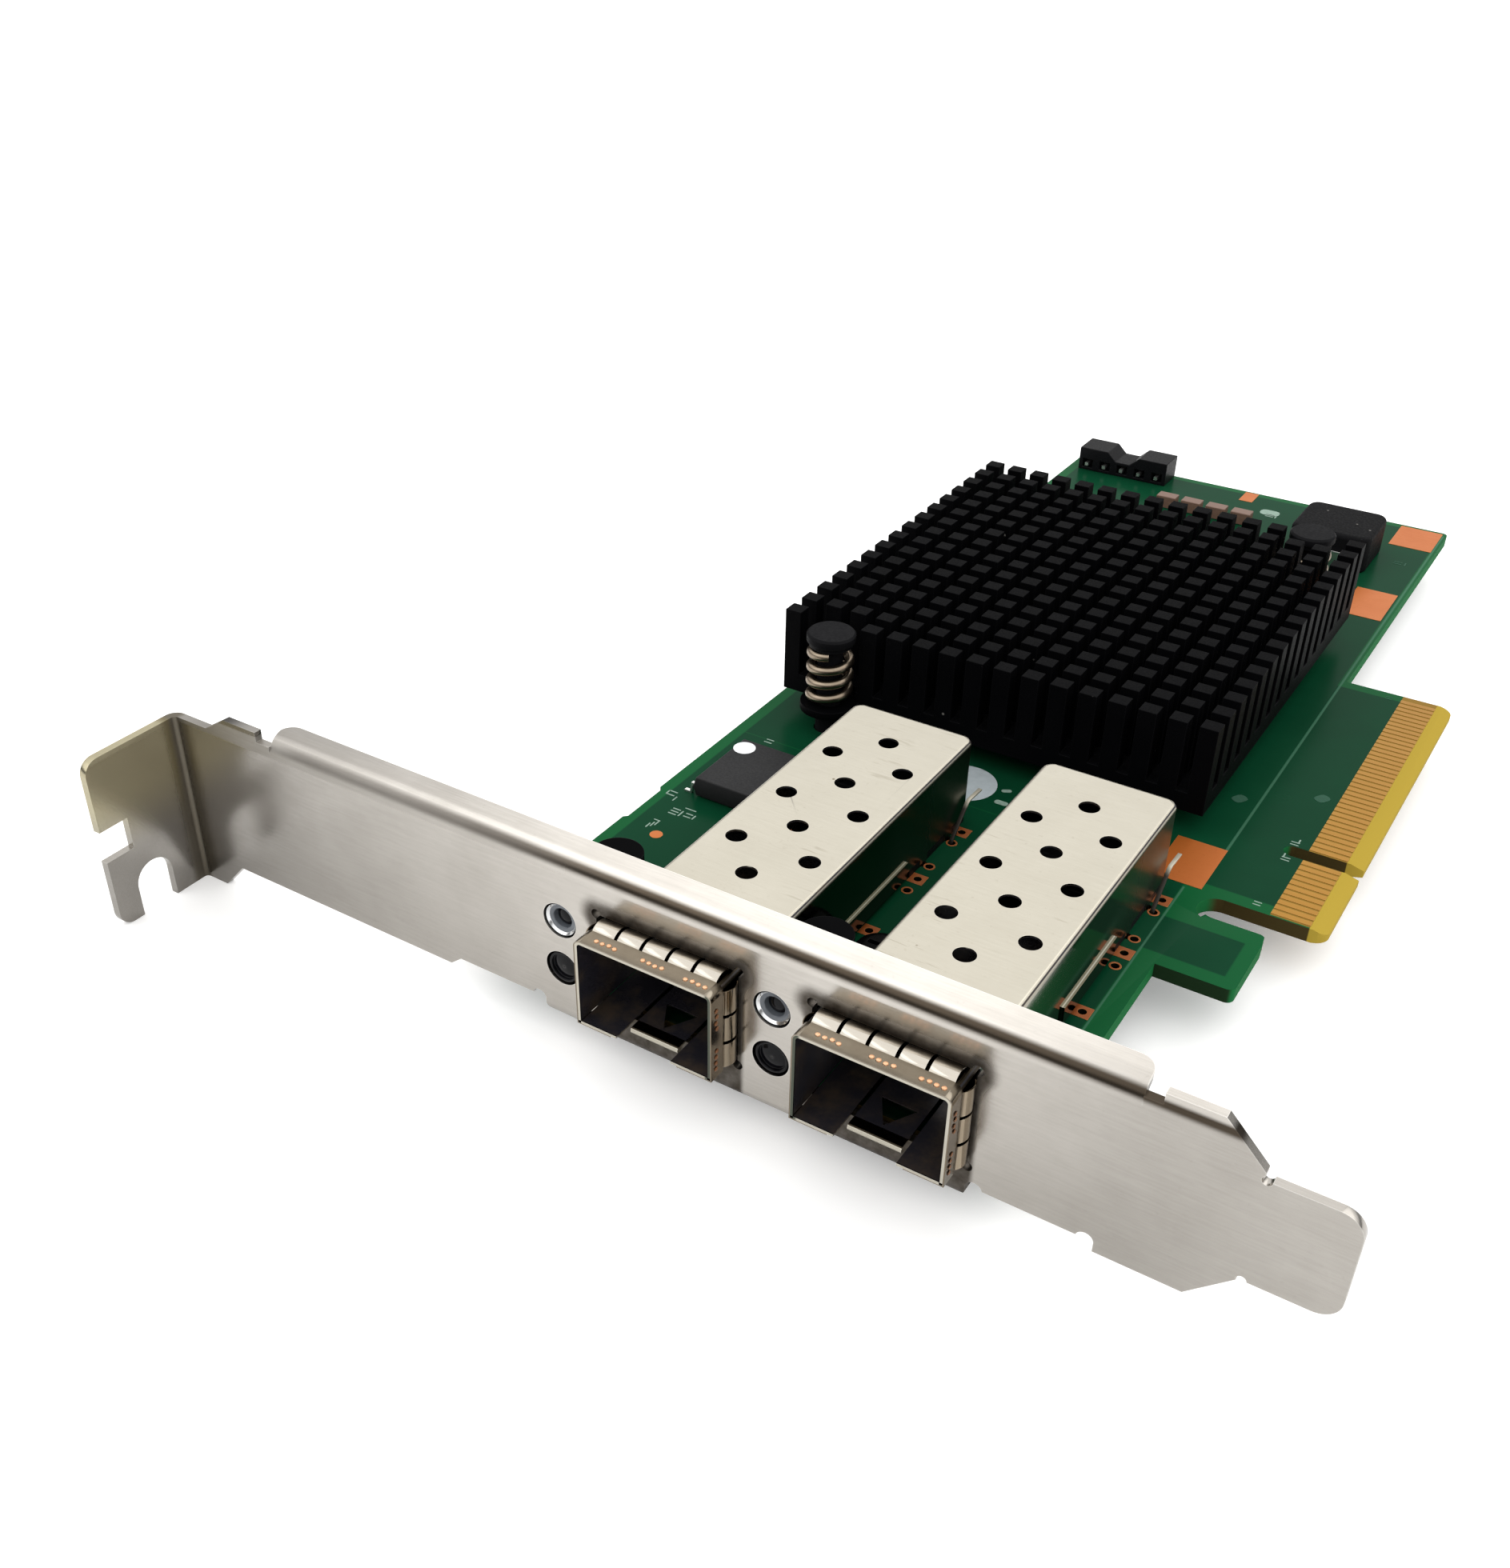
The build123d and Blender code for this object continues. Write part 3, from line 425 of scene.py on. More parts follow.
def plasticFinish(name, look):
    material, surface, place = startMaterial(name)
    grain = noiseNode(place, look["grainScale"], *finish["plasticGrain"])
    rub, = useGroup(edgeRub, place, mm(look["edge"]), finish["plasticBreakup"])
    dust, = useGroup(dustSpecks, place, look["dust"])
    tone = mixColor(noiseNode(place, *finish["plasticClouds"]), look["dark"], look["light"])
    tone = mixColor(dust * finish["dustShare"], mixColor(rub, tone, look["rubbed"]), finish["dustColor"])
    rough = rangeNode(grain, *finish["plasticSpan"], *look["rough"], "LINEAR")
    dress(surface, color=tone, rough=rough, shine=look["shine"])
    addBump(surface, grain, look["relief"])
    return material


def plainFinish(name, look):
    # one noise drives colour, roughness and relief
    material, surface, place = startMaterial(name)
    grain = noiseNode(place, *look["noise"])
    tone = mixColor(grain, look["dark"], look["light"])
    rough = rangeNode(grain, *finish["plasticSpan"], *look["rough"], "LINEAR")
    dress(surface, color=tone, rough=rough, shine=look.get("shine", 0.5), metal=look.get("metal", 0.0))
    addBump(surface, grain, look["relief"])
    return material, surface, place, tone, grain


# the grain of each metal is its streaks, clouds and pits

bracketNickel = {
    "dark": (0.425, 0.398, 0.362), "light": (0.590, 0.562, 0.522), "rubbed": (0.80, 0.78, 0.74),
    "grain": (0.70, 0.85, 0.14), "edge": 0.12, "rough": (0.27, 0.17), "relief": 0.004,
}
bracketShadeAndTint = {
    # painted light and shade on the plate: how light it is at its tab, middle and far end, and where that changes, and
    # a painted highlight on the flange top
    "level": (0.60, 1.09), "paintedLightGrow": (4, 56), "farPaintedLight": 0.76, "paintedLightFade": (84, 106),
    "flangeHighlight": (0.74, 1.36), "flangeHighlightGrow": (8, 74), "flangeRise": (17.75, 18.1),
    # the tab is browner at its top, and its fold carries painted shade
    "tabTint": (1.38, 1.32, 0.98), "tabAlong": (-0.4, -1.2), "tabRise": (4, 12),
    "foldShade": (0.52, 0.49, 0.42), "foldAcross": (1.9, 1.0), "foldAlong": (-2.2, -1.0),
    "foldTurn": (0.12, 0.38), "foldEnd": (4.0, 3.0),
    # painted shadow round the collars, narrower beside them than above
    "paintedShadowTint": (0.085, 0.070, 0.055), "shadowReach": (2.3, 0.75), "shadowHalf": 7.3, "shadowTop": 13.3,
    "shadowSides": (13.0, 10.0), "shadowNarrow": 2.6, "shadowPatches": (700.0, 3.0, 0.6), "shadowThin": 0.75,
    # painted shade: the brown line under the roll
    "rollShadeLine": (0.15, 0.125, 0.10), "lineLow": (16.55, 17.20), "lineHigh": (17.95, 17.55),
    "lineAlong": (1.9, 1.7), "lineStart": (14.2, 19), "lineGrow": (22, 60), "lineFaint": 0.38,
    # the painted shadow round the collars, the fold and the tab half of the roll are matte
    "matte": 0.55, "matteLow": (15.6, 16.4), "matteHigh": (18.1, 17.8), "matteEnd": (64, 40), "matteRoll": 0.85,
}


def paintedShadowMask(place, across, rise):
    look = bracketShadeAndTint
    marks = []
    for middle in card["cageMiddles"]:
        aside = most(offMiddle(across, middle) - mm(look["shadowHalf"]), 0.0)
        aside = aside * span(rise, look["shadowSides"], 1.0, look["shadowNarrow"])
        above = most(rise - mm(look["shadowTop"]), 0.0)
        marks.append(span(mathNode("SQRT", aside * aside + above * above), look["shadowReach"]))
    patches = noiseNode(place, *look["shadowPatches"])
    return most(*marks) * rangeNode(patches, *finish["metalSpan"], look["shadowThin"], 1.0, "LINEAR")


def shadeAndTintBracket(surface, place, tone, rough):
    look = bracketShadeAndTint
    across, along, rise = cardPlace(place)
    nx, ny, nz = facing(place.tree)
    # painted light and shade along the plate, then a painted highlight on the flange top
    level = span(across, look["paintedLightGrow"], *look["level"], "LINEAR")
    level = level * span(across, look["paintedLightFade"], 1.0, look["farPaintedLight"])
    flangeBrightening = span(across, look["flangeHighlightGrow"], *look["flangeHighlight"], "LINEAR") - 1.0
    level = level * (flangeBrightening * span(rise, look["flangeRise"]) + 1.0)
    tone = mixColor(1.0, tone, level, "MULTIPLY")
    tone = tinted(span(along, look["tabAlong"]) * span(rise, look["tabRise"]), tone, look["tabTint"])
    # painted shade in the tab's fold
    turning = rangeNode(abs(nx * ny), *look["foldTurn"]) * span(across, look["foldEnd"])
    inFold = most(span(across, look["foldAcross"]) * span(along, look["foldAlong"]), turning)
    tone = tinted(inFold, tone, look["foldShade"])
    # painted shadow round the collars, broken up by noise
    paintedShade = paintedShadowMask(place, across, rise)
    tone = tinted(paintedShade, tone, look["paintedShadowTint"])
    # painted shade line under the roll
    line = span(rise, look["lineLow"]) * span(rise, look["lineHigh"]) * span(along, look["lineAlong"])
    line = line * span(across, look["lineStart"]) * span(across, look["lineGrow"], look["lineFaint"], 1.0)
    roll = span(rise, look["matteLow"]) * span(rise, look["matteHigh"])
    roll = roll * span(across, look["matteEnd"], 0.0, look["matteRoll"])
    matte = most(paintedShade, inFold, roll) * look["matte"]
    dress(surface, color=tinted(line, tone, look["rollShadeLine"]), rough=most(rough, matte))


bracketMaterial, *bracketParts = metalFinish("satinNickelBracket", bracketNickel)
shadeAndTintBracket(*bracketParts)

cageNickel = {
    "dark": (0.440, 0.408, 0.335), "light": (0.580, 0.550, 0.470), "rubbed": (0.78, 0.75, 0.68),
    "grain": (0.35, 0.45, 0.22), "edge": 0.08, "rough": (0.27, 0.18), "relief": 0.003,
}
cageShade = {
    # painted shade on the inner faces, all but the latch tongue: dark with brown haze, and less metallic
    "innerHalf": 6.88, "innerTop": 12.93, "innerLow": 4.05, "mouth": -3.62,
    "tongueHalf": 2.75, "tongueEnd": -0.84, "tongueTop": 4.9,
    "insideShadeDark": (0.022, 0.021, 0.027), "insideShadeBrown": (0.062, 0.046, 0.034), "innerMetal": 0.25,
    "haze": (260.0, 4.0, 0.6), "hazeEdge": (0.40, 0.72),
    # painted shade on the part that passes through the bracket
    "paintedShade": (0.10, 0.085, 0.07), "throughShadeFront": (-3.3, -3.1), "throughShadeRear": (3.4, 2.2),
    # painted shade on the side walls towards the rear and in the bay between the cages; the flap edges are darker
    "wallShadeTint": (0.17, 0.20, 0.185), "wallSteep": (0.50, 0.20), "wallGrow": (6, 24), "bay": (67.6, 76.9, 0.3),
    "flapTint": (0.50, 0.48, 0.40), "flapSpan": (7.04, 7.10), "flapEnd": (9.4, 9.3),
    # faint scuffs and a few specks on the tops
    "topFacing": (0.90, 0.98), "scuffStretch": (170, 1500, 400), "scuffTurn": -38,
    "scuffNoise": (1.0, 3.0, 0.6), "scuffEdge": (0.60, 0.68), "scuffShare": 0.55, "scuffTint": (0.72, 0.70, 0.66),
    "patchNoise": (95.0, 2.0, 0.5), "patchEdge": (0.50, 0.62), "speckDensity": 0.10, "speckTint": (0.42, 0.38, 0.30),
    # the walls are drawn smoother than the top, and the folds between them are rubbed
    "wallRough": 0.34, "smoothSteep": (0.45, 0.90), "foldRough": 0.50,
    "foldLow": (0.06, 0.20), "foldHigh": (0.985, 0.90), "rearRough": 0.30, "rearGrow": (22, 40),
}


def insideMask(across, along, rise, offs):
    look = cageShade
    inner = most(*[under(off, look["innerHalf"]) for off in offs])
    tongue = most(*[under(off, look["tongueHalf"]) for off in offs])
    tongue = tongue * under(along, look["tongueEnd"]) * under(rise, look["tongueTop"])
    inner = inner * under(rise, look["innerTop"]) * over(rise, look["innerLow"]) * over(along, look["mouth"])
    return inner * (1.0 - tongue)


def wearTops(place, tone, nz):
    look = cageShade
    onTop = rangeNode(nz, *look["topFacing"])
    turned = stretched(place, look["scuffStretch"], look["scuffTurn"])
    scuff = rangeNode(noiseNode(turned, *look["scuffNoise"]), *look["scuffEdge"])
    patch = rangeNode(noiseNode(place, *look["patchNoise"]), *look["patchEdge"])
    tone = tinted(scuff * patch * onTop * look["scuffShare"], tone, look["scuffTint"])
    specks, = useGroup(dustSpecks, place, look["speckDensity"])
    return tinted(specks * onTop, tone, look["speckTint"])


def shadeCages(surface, place, tone, rough):
    look = cageShade
    across, along, rise = cardPlace(place)
    nx, ny, nz = facing(place.tree)
    steep = abs(nz)
    offs = [offMiddle(across, middle) for middle in card["cageMiddles"]]
    # painted shade where the cage passes through the bracket
    through = span(along, look["throughShadeFront"]) * span(along, look["throughShadeRear"]) * over(rise, look["innerLow"])
    tone = tinted(through, tone, look["paintedShade"])
    # painted shade on the side walls
    onWall = rangeNode(steep, *look["wallSteep"])
    dull = onWall * most(span(along, look["wallGrow"]), slab(across, *look["bay"]))
    tone = tinted(dull, tone, look["wallShadeTint"])
    flap = most(*[span(off, look["flapSpan"]) * span(off, look["flapEnd"]) for off in offs])
    tone = wearTops(place, tinted(flap * over(along, look["mouth"]), tone, look["flapTint"]), nz)
    # painted shade inside the cages
    inner = insideMask(across, along, rise, offs)
    haze = rangeNode(noiseNode(place, *look["haze"]), *look["hazeEdge"])
    tone = mixColor(inner, tone, mixColor(haze, look["insideShadeDark"], look["insideShadeBrown"]))
    metal = rangeNode(inner, 0.0, 1.0, 1.0, look["innerMetal"], "LINEAR")
    rough = rough * rangeNode(steep, *look["smoothSteep"], look["wallRough"], 1.0)
    inFold = rangeNode(steep, *look["foldLow"]) * rangeNode(steep, *look["foldHigh"]) * look["foldRough"]
    rearWall = onWall * span(along, look["rearGrow"]) * look["rearRough"]
    dress(surface, color=tone, metal=metal, rough=most(rough, inFold, rearWall))


cageMaterial, *cageParts = metalFinish("satinNickelCage", cageNickel)
shadeCages(*cageParts)

collarNickel = {
    "dark": (0.500, 0.455, 0.390), "light": (0.660, 0.620, 0.550), "rubbed": (0.74, 0.71, 0.65),
    "grain": (0.50, 0.35, 0.15), "edge": 0.05, "rough": (0.20, 0.10), "relief": 0.002,
}
collarShade = {
    # the welded band round the mouth is duller than the fingers
    "bandEnd": -1.88, "bandTint": (0.52, 0.4992, 0.4576), "stain": (0.16, 0.125, 0.095),
    "stainNoise": (520.0, 4.0, 0.65), "stainEdge": (0.35, 0.7), "stainAmount": (0.25, 0.75), "stainShare": 0.5,
    # painted shadow behind the crest of the fingers, and browner painted shade on the sides
    "behind": (-0.95, -0.35), "crestShadow": (0.16, 0.13, 0.10),
    "sideSpan": (7.03, 7.08), "sideEnd": (9.0, 8.9), "sideShade": (0.60, 0.53, 0.44),
    # painted shade: what is inside the bracket is black and matte
    "hidden": (-0.05, 0.10), "hiddenShade": (0.004, 0.004, 0.004), "hiddenRough": 0.7,
}


def shadeCollars(surface, place, tone, rough):
    look = collarShade
    across, along, rise = cardPlace(place)
    stain = rangeNode(noiseNode(place, *look["stainNoise"]), *look["stainEdge"], *look["stainAmount"])
    dull = mixColor(1.0, tone, look["bandTint"], "MULTIPLY")
    stained = mixColor(stain * look["stainShare"], dull, look["stain"])
    tone = mixColor(under(along, look["bandEnd"]), tone, stained)
    # painted shadow behind the finger crests
    tone = tinted(span(along, look["behind"]), tone, look["crestShadow"])
    # painted shade: the collar behind the bracket plate is black
    hidden = span(along, look["hidden"])
    tone = mixColor(hidden, tone, look["hiddenShade"])
    # painted shade on the collar sides
    for middle in card["cageMiddles"]:
        aside = offMiddle(across, middle)
        tone = tinted(span(aside, look["sideSpan"]) * span(aside, look["sideEnd"]), tone, look["sideShade"])
    dress(surface, color=tone, rough=most(rough, hidden * look["hiddenRough"]))


collarMaterial, *collarParts = metalFinish("brightSpringCollar", collarNickel)
shadeCollars(*collarParts)

springWire = {
    "dark": (0.20, 0.155, 0.110), "light": (0.38, 0.315, 0.240), "rubbed": (0.50, 0.44, 0.35),
    "grain": (0.4, 0.5, 0.2), "edge": 0.05, "rough": (0.36, 0.22), "relief": 0.004,
}
springMaterial, *_ = metalFinish("bronzeSpringWire", springWire)

goldPlate = {
    "dark": (0.32, 0.158, 0.026), "light": (0.43, 0.220, 0.044), "rubbed": (0.60, 0.38, 0.12),
    "grain": (0.3, 0.5, 0.15), "edge": 0.05, "rough": (0.38, 0.26), "relief": 0.001,
}
goldMaterial, *_ = metalFinish("goldContactPlate", goldPlate)

bareCopper = {
    "dark": (0.42, 0.105, 0.016), "light": (0.60, 0.170, 0.028), "rubbed": (0.66, 0.26, 0.08),
    "grain": (0.2, 0.8, 0.3), "edge": 0.05, "rough": (0.48, 0.34), "relief": 0.002, "metal": 0.45,
}
copperMaterial, *_ = metalFinish("bareCopperPad", bareCopper)

padCopper = dict(bareCopper, dark=(0.24, 0.060, 0.012), light=(0.42, 0.115, 0.022), metal=0.35)
padCopperMaterial, *_ = metalFinish("stainedPadCopper", padCopper)

tinPlate = {
    "dark": (0.58, 0.575, 0.56), "light": (0.78, 0.775, 0.76), "rubbed": (0.88, 0.88, 0.87),
    "grain": (0.2, 0.7, 0.3), "edge": 0.05, "rough": (0.42, 0.28), "relief": 0.004,
}
tinMaterial, *_ = metalFinish("tinnedLead", tinPlate)

chipLidNickel = dict(tinPlate, dark=(0.50, 0.49, 0.47), light=(0.62, 0.61, 0.59), rough=(0.46, 0.28))
chipLidMaterial, *_ = metalFinish("chipLidNickel", chipLidNickel)

anodisedFins = {
    "dark": (0.0010, 0.0010, 0.0013), "light": (0.0028, 0.0028, 0.0034), "rubbed": (0.010, 0.010, 0.011),
    "grainScale": 5200.0, "shine": 0.022, "dust": 0.05, "edge": 0.10, "rough": (0.40, 0.58), "relief": 0.004,
}
finMaterial = plasticFinish("blackAnodisedFins", anodisedFins)

chipResin = {
    "dark": (0.010, 0.010, 0.011), "light": (0.022, 0.022, 0.023), "rubbed": (0.04, 0.04, 0.04),
    "grainScale": 4200.0, "shine": 0.14, "dust": 0.12, "edge": 0.08, "rough": (0.42, 0.62), "relief": 0.006,
}
resinMaterial = plasticFinish("blackChipResin", chipResin)

portPlastic = dict(chipResin, dark=(0.004, 0.004, 0.005), light=(0.010, 0.010, 0.011), dust=0.0, rough=(0.35, 0.62))
portMaterial = plasticFinish("blackPortPlastic", portPlastic)

coilPowder = {
    "dark": (0.003, 0.003, 0.0035), "light": (0.007, 0.007, 0.008), "rubbed": (0.02, 0.02, 0.02),
    "grainScale": 3000.0, "shine": 0.06, "dust": 0.15, "edge": 0.12, "rough": (0.50, 0.75), "relief": 0.012,
}
coilMaterial = plasticFinish("greyMouldedCoil", coilPowder)

pinNylon = {
    "dark": (0.005, 0.005, 0.006), "light": (0.010, 0.010, 0.011), "rubbed": (0.03, 0.03, 0.03),
    "grainScale": 2500.0, "shine": 0.035, "dust": 0.10, "edge": 0.15, "rough": (0.42, 0.60), "relief": 0.006,
}
nylonMaterial = plasticFinish("greyPinNylon", pinNylon)

headerPlastic = dict(chipResin, dark=(0.003, 0.003, 0.004), light=(0.007, 0.007, 0.008), shine=0.08, rough=(0.3, 0.5))
headerMaterial = plasticFinish("blackHeaderPlastic", headerPlastic)

screwSteel = {
    "dark": (0.0015, 0.0015, 0.0015), "light": (0.004, 0.004, 0.0045), "rubbed": (0.03, 0.03, 0.03),
    "grainScale": 3800.0, "shine": 0.045, "dust": 0.0, "edge": 0.10, "rough": (0.18, 0.34), "relief": 0.003,
}
screwMaterial = plasticFinish("blackScrewSteel", screwSteel)

holderPlastic = dict(screwSteel, shine=0.004, rough=(0.08, 0.16))
holderMaterial = plasticFinish("glossyLampHolder", holderPlastic)

padSilicone = dict(chipResin, dark=(0.28, 0.29, 0.30), light=(0.38, 0.39, 0.40), rubbed=(0.45, 0.45, 0.45))
padMaterial = plasticFinish("greyThermalPad", padSilicone)

tanCeramic = {
    "dark": (0.12, 0.066, 0.045), "light": (0.20, 0.115, 0.082),
    "noise": (2600.0, 4.0, 0.6), "rough": (0.36, 0.55), "relief": 0.006,
}
ceramicMaterial, *_ = plainFinish("tanCapacitorCeramic", tanCeramic)

clearLens = {
    "dark": (0.075, 0.085, 0.100), "light": (0.14, 0.155, 0.175),
    "noise": (900.0, 3.0, 0.5), "rough": (0.05, 0.12), "relief": 0.004,
}
clearLampMaterial, *_ = plainFinish("clearLampLens", clearLens)

darkLens = dict(clearLens, dark=(0.0015, 0.0015, 0.0025), light=(0.005, 0.005, 0.007), shine=0.16)
darkLampMaterial, *_ = plainFinish("darkLampLens", darkLens)

boardLook = {
    "mask": (0.0020, 0.032, 0.0135), "maskLight": (0.0035, 0.052, 0.0215), "clouds": (90.0, 3.0, 0.5),
    "rim": (0.0060, 0.088, 0.027), "line": (0.050, 0.150, 0.090), "lineShare": 0.75, "lineSoft": 0.12,
    # left, right, front and rear of each field of copper under the mask
    "pours": [(38.7, 91.9, 2.6, 48.6), (38.7, 93.3, 48.4, 150.9), (89.0, 100.2, 35.0, 41.2), (90.0, 106.5, 48.4, 97.6)],
    "pourSoft": 0.25,
    # middle, half width, front and rear of each light line
    "lines": [(91.95, 0.05, 3.0, 47.0), (93.45, 0.08, 55.0, 151.0), (74.75, 0.16, 3.0, 46.0), (52.9, 0.10, 3.0, 24.0)],
    "lineEnds": 0.3,
    # the mask under the cages is in deep shade
    "shade": (0.0008, 0.002, 0.001), "shadeSides": (7.0, 6.6), "shadeEnd": 1.0, "shadeShare": 0.93,
    # cut sides show the glass core, darker and greener round the hook; the right-facing sides are a brighter green, a
    # painted highlight
    "core": (0.050, 0.036, 0.012), "hookCore": (0.010, 0.026, 0.010), "litSideGreen": (0.012, 0.135, 0.040),
    "cutSteep": (0.60, 0.35), "rightFacing": (0.3, 0.8), "hookAlong": (46.3, 45.0), "hookAcross": (90, 93),
    # painted shade on the walls of the spare holes beside the cages
    "holeShade": (0.006, 0.004, 0.002), "holeOffset": 7.75, "holeSpan": (0.80, 0.75),
    # bare laminate between the contacts, and on the bevel
    "laminate": (0.250, 0.145, 0.026), "laminateAcross": (100.55, 100.65), "laminateAlong": (46.9, 47.1),
    "bevel": (0.40, 0.285, 0.040), "bevelAcross": (104.45, 104.57),
    "smoothest": 0.20, "bareRough": 0.35, "cloudRough": 0.10, "shine": 0.025,
    "weave": (1250.0, 1250.0, 60), "weaveNoise": (1.0, 2.0, 0.5), "weaveShare": 0.35, "relief": 0.012,
}


def makeSolderMask():
    look = boardLook
    material, surface, place = startMaterial("greenSolderMask")
    across, along, rise = cardPlace(place)
    nx, ny, nz = facing(place.tree)
    clouds = noiseNode(place, *look["clouds"])
    tone = mixColor(clouds, look["mask"], look["maskLight"])
    # the copper stops short of the outline, and the rim outside it is a brighter green
    fields = [slab(across, left, right, look["pourSoft"]) * slab(along, front, rear, look["pourSoft"])
              for left, right, front, rear in look["pours"]]
    tone = mixColor(most(*fields), look["rim"], tone)
    # light lines where wide traces run beside the cages and along the right edge
    lines = [span(offMiddle(across, middle), (half + look["lineSoft"], half)) * slab(along, front, rear, look["lineEnds"])
             for middle, half, front, rear in look["lines"]]
    line = most(*lines)
    tone = mixColor(line * look["lineShare"], tone, look["line"])
    rear = card["cageRear"]
    for middle in card["cageMiddles"]:
        below = span(offMiddle(across, middle), look["shadeSides"]) * span(along, (rear, rear - look["shadeEnd"]))
        tone = mixColor(below * look["shadeShare"], tone, look["shade"])
    cut = rangeNode(abs(nz), *look["cutSteep"])
    atHook = span(along, look["hookAlong"]) * span(across, look["hookAcross"])
    core = mixColor(atHook, look["core"], look["hookCore"])
    # painted highlight: right-facing cut sides are a brighter green
    tone = mixColor(cut, tone, mixColor(rangeNode(nx, *look["rightFacing"]), core, look["litSideGreen"]))
    # painted shade in the spare holes
    for middle in card["cageMiddles"]:
        for side in (-1, 1):
            column = span(offMiddle(across, middle + side * look["holeOffset"]), look["holeSpan"])
            tone = mixColor(column * cut, tone, look["holeShade"])
    bare = span(across, look["laminateAcross"]) * span(along, look["laminateAlong"]) * (1.0 - cut)
    onBevel = span(across, look["bevelAcross"])
    tone = mixColor(onBevel, mixColor(bare, tone, look["laminate"]), look["bevel"])
    rough = most(cut, onBevel) * look["bareRough"] + clouds * look["cloudRough"] + look["smoothest"]
    dress(surface, color=tone, rough=rough, shine=look["shine"])
    weave = noiseNode(stretched(place, look["weave"]), *look["weaveNoise"])
    addBump(surface, weave * look["weaveShare"] + line, look["relief"])
    return material


boardMaterial = makeSolderMask()
print("materials made")

# CAD nodes that keep their own shape
keptNodes = {
    "cage_floor_left": cageMaterial, "cage_floor_right": cageMaterial,
    "connector_contacts_left": goldMaterial, "connector_contacts_right": goldMaterial,
    "copper_patches": copperMaterial, "edge_contacts": goldMaterial,
    "flash_leads": tinMaterial, "header_pins": tinMaterial,
    "thermal_pad": padMaterial, "under_capacitors": ceramicMaterial,
}
for nodeName, material in keptNodes.items():
    held = nodes[nodeName]
    held.data.materials.clear()
    held.data.materials.append(material)
    smooth(held, 30)
print("kept nodes dressed:", len(keptNodes))

# CAD nodes whose edges are broken: sides, node, piece, material, slot, width of the bevel, its segments and angle
once, sides, ends = [""], ["left", "right"], ["front", "rear"]
brokenEdges = [
    (once, "bracket", "folded_bracket", bracketMaterial, "nickel_steel", 0.08, 2, 45),
    (once, "circuit_board", "board_with_mask", boardMaterial, "solder_mask", 0.10, 2, 40),
    (once, "heatsink", "pin_fin_heatsink", finMaterial, "black_anodised", 0.14, 2, 40),
    (once, "controller_chip", "controller_chip_body", chipLidMaterial, "chip_lid", 0.10, 2, 40),
    (once, "flash_chip", "flash_chip_body", resinMaterial, "moulded_black", 0.12, 3, 40),
    (once, "power_inductor", "power_inductor_body", coilMaterial, "moulded_grey", 0.35, 4, 40),
    (once, "inductor_terminals", "inductor_terminal_straps", tinMaterial, "tin", 0.05, 2, 40),
    (once, "rear_header", "rear_header_housing", headerMaterial, "black_plastic", 0.12, 2, 40),
    (once, "rear_capacitors", "rear_capacitor_row", ceramicMaterial, "ceramic", 0.14, 3, 40),
    (sides, "port_cage_{}", "{}_port_cage", cageMaterial, "cage_steel", 0.05, 2, 40),
    (sides, "spring_collar_{}", "{}_spring_collar", collarMaterial, "spring_steel", 0.03, 2, 50),
    (sides, "port_connector_{}", "{}_port_connector", portMaterial, "moulded_black", 0.10, 2, 40),
    (once, "bracket_screws", "black_bracket_screws", screwMaterial, "black_screw", 0.08, 2, 40),
    (sides, "lamp_holder_{}", "{}_lamp_holder", holderMaterial, "black_plastic", 0.15, 2, 40),
    (sides, "lower_lamp_{}", "{}_lower_lamp", darkLampMaterial, "dark_lamp", 0.10, 3, 40),
    (ends, "push_pin_{}", "{}_push_pin", nylonMaterial, "grey_nylon", 0.15, 2, 40),
]
copyLook = {"merge": 0.001, "flatAngle": 1.0, "shadeAngle": 40}


def roundedCopy(nodeName, pieceName, material, slotName, width, segments, angle):
    # the CAD node's mesh, merged, with its edges broken so that they catch the light
    look = copyLook
    piece = bpy.data.objects.new(pieceName, nodes[nodeName].data.copy())
    bpy.context.scene.collection.objects.link(piece)
    pick(piece)
    editAll()
    bpy.ops.mesh.remove_doubles(threshold=mm(look["merge"]))
    bpy.ops.mesh.dissolve_limited(angle_limit=math.radians(look["flatAngle"]))
    leaveEdit()
    addBevel(piece, width, segments, angle)
    # large flat faces keep their own normal, and only the broken edges turn
    smooth(piece, look["shadeAngle"])
    applyModifier(piece, "WEIGHTED_NORMAL", mode="FACE_AREA", weight=100, keep_sharp=True)
    finishPiece(piece, pieceName, material, slotName, nodeName)


for places, nodeName, pieceName, *values in brokenEdges:
    for place in places:
        roundedCopy(nodeName.format(place), pieceName.format(place), *values)
print("edges broken")

hookTrim = {"left": 93.2, "front": 42.2, "rear": 42.8, "grow": 0.8}


def trimHook():
    # the hook's rear edge sits closer to the tongue
    look = hookTrim
    low = at(look["left"], look["front"], 0)
    rear = at(0, look["rear"], 0).y
    board = bpy.data.objects["board_with_mask"]
    editPart(board, "VERT", lambda corner: corner.co.x > low.x and low.y < corner.co.y < rear)
    bpy.ops.transform.translate(value=(0, mm(look["grow"]), 0))
    leaveEdit()


trimHook()

# round-wire springs on the push pins
pinSpring = {"wire": 1.1, "turns": 3.4, "sidesOfWire": 14, "stepsPerTurn": 40}


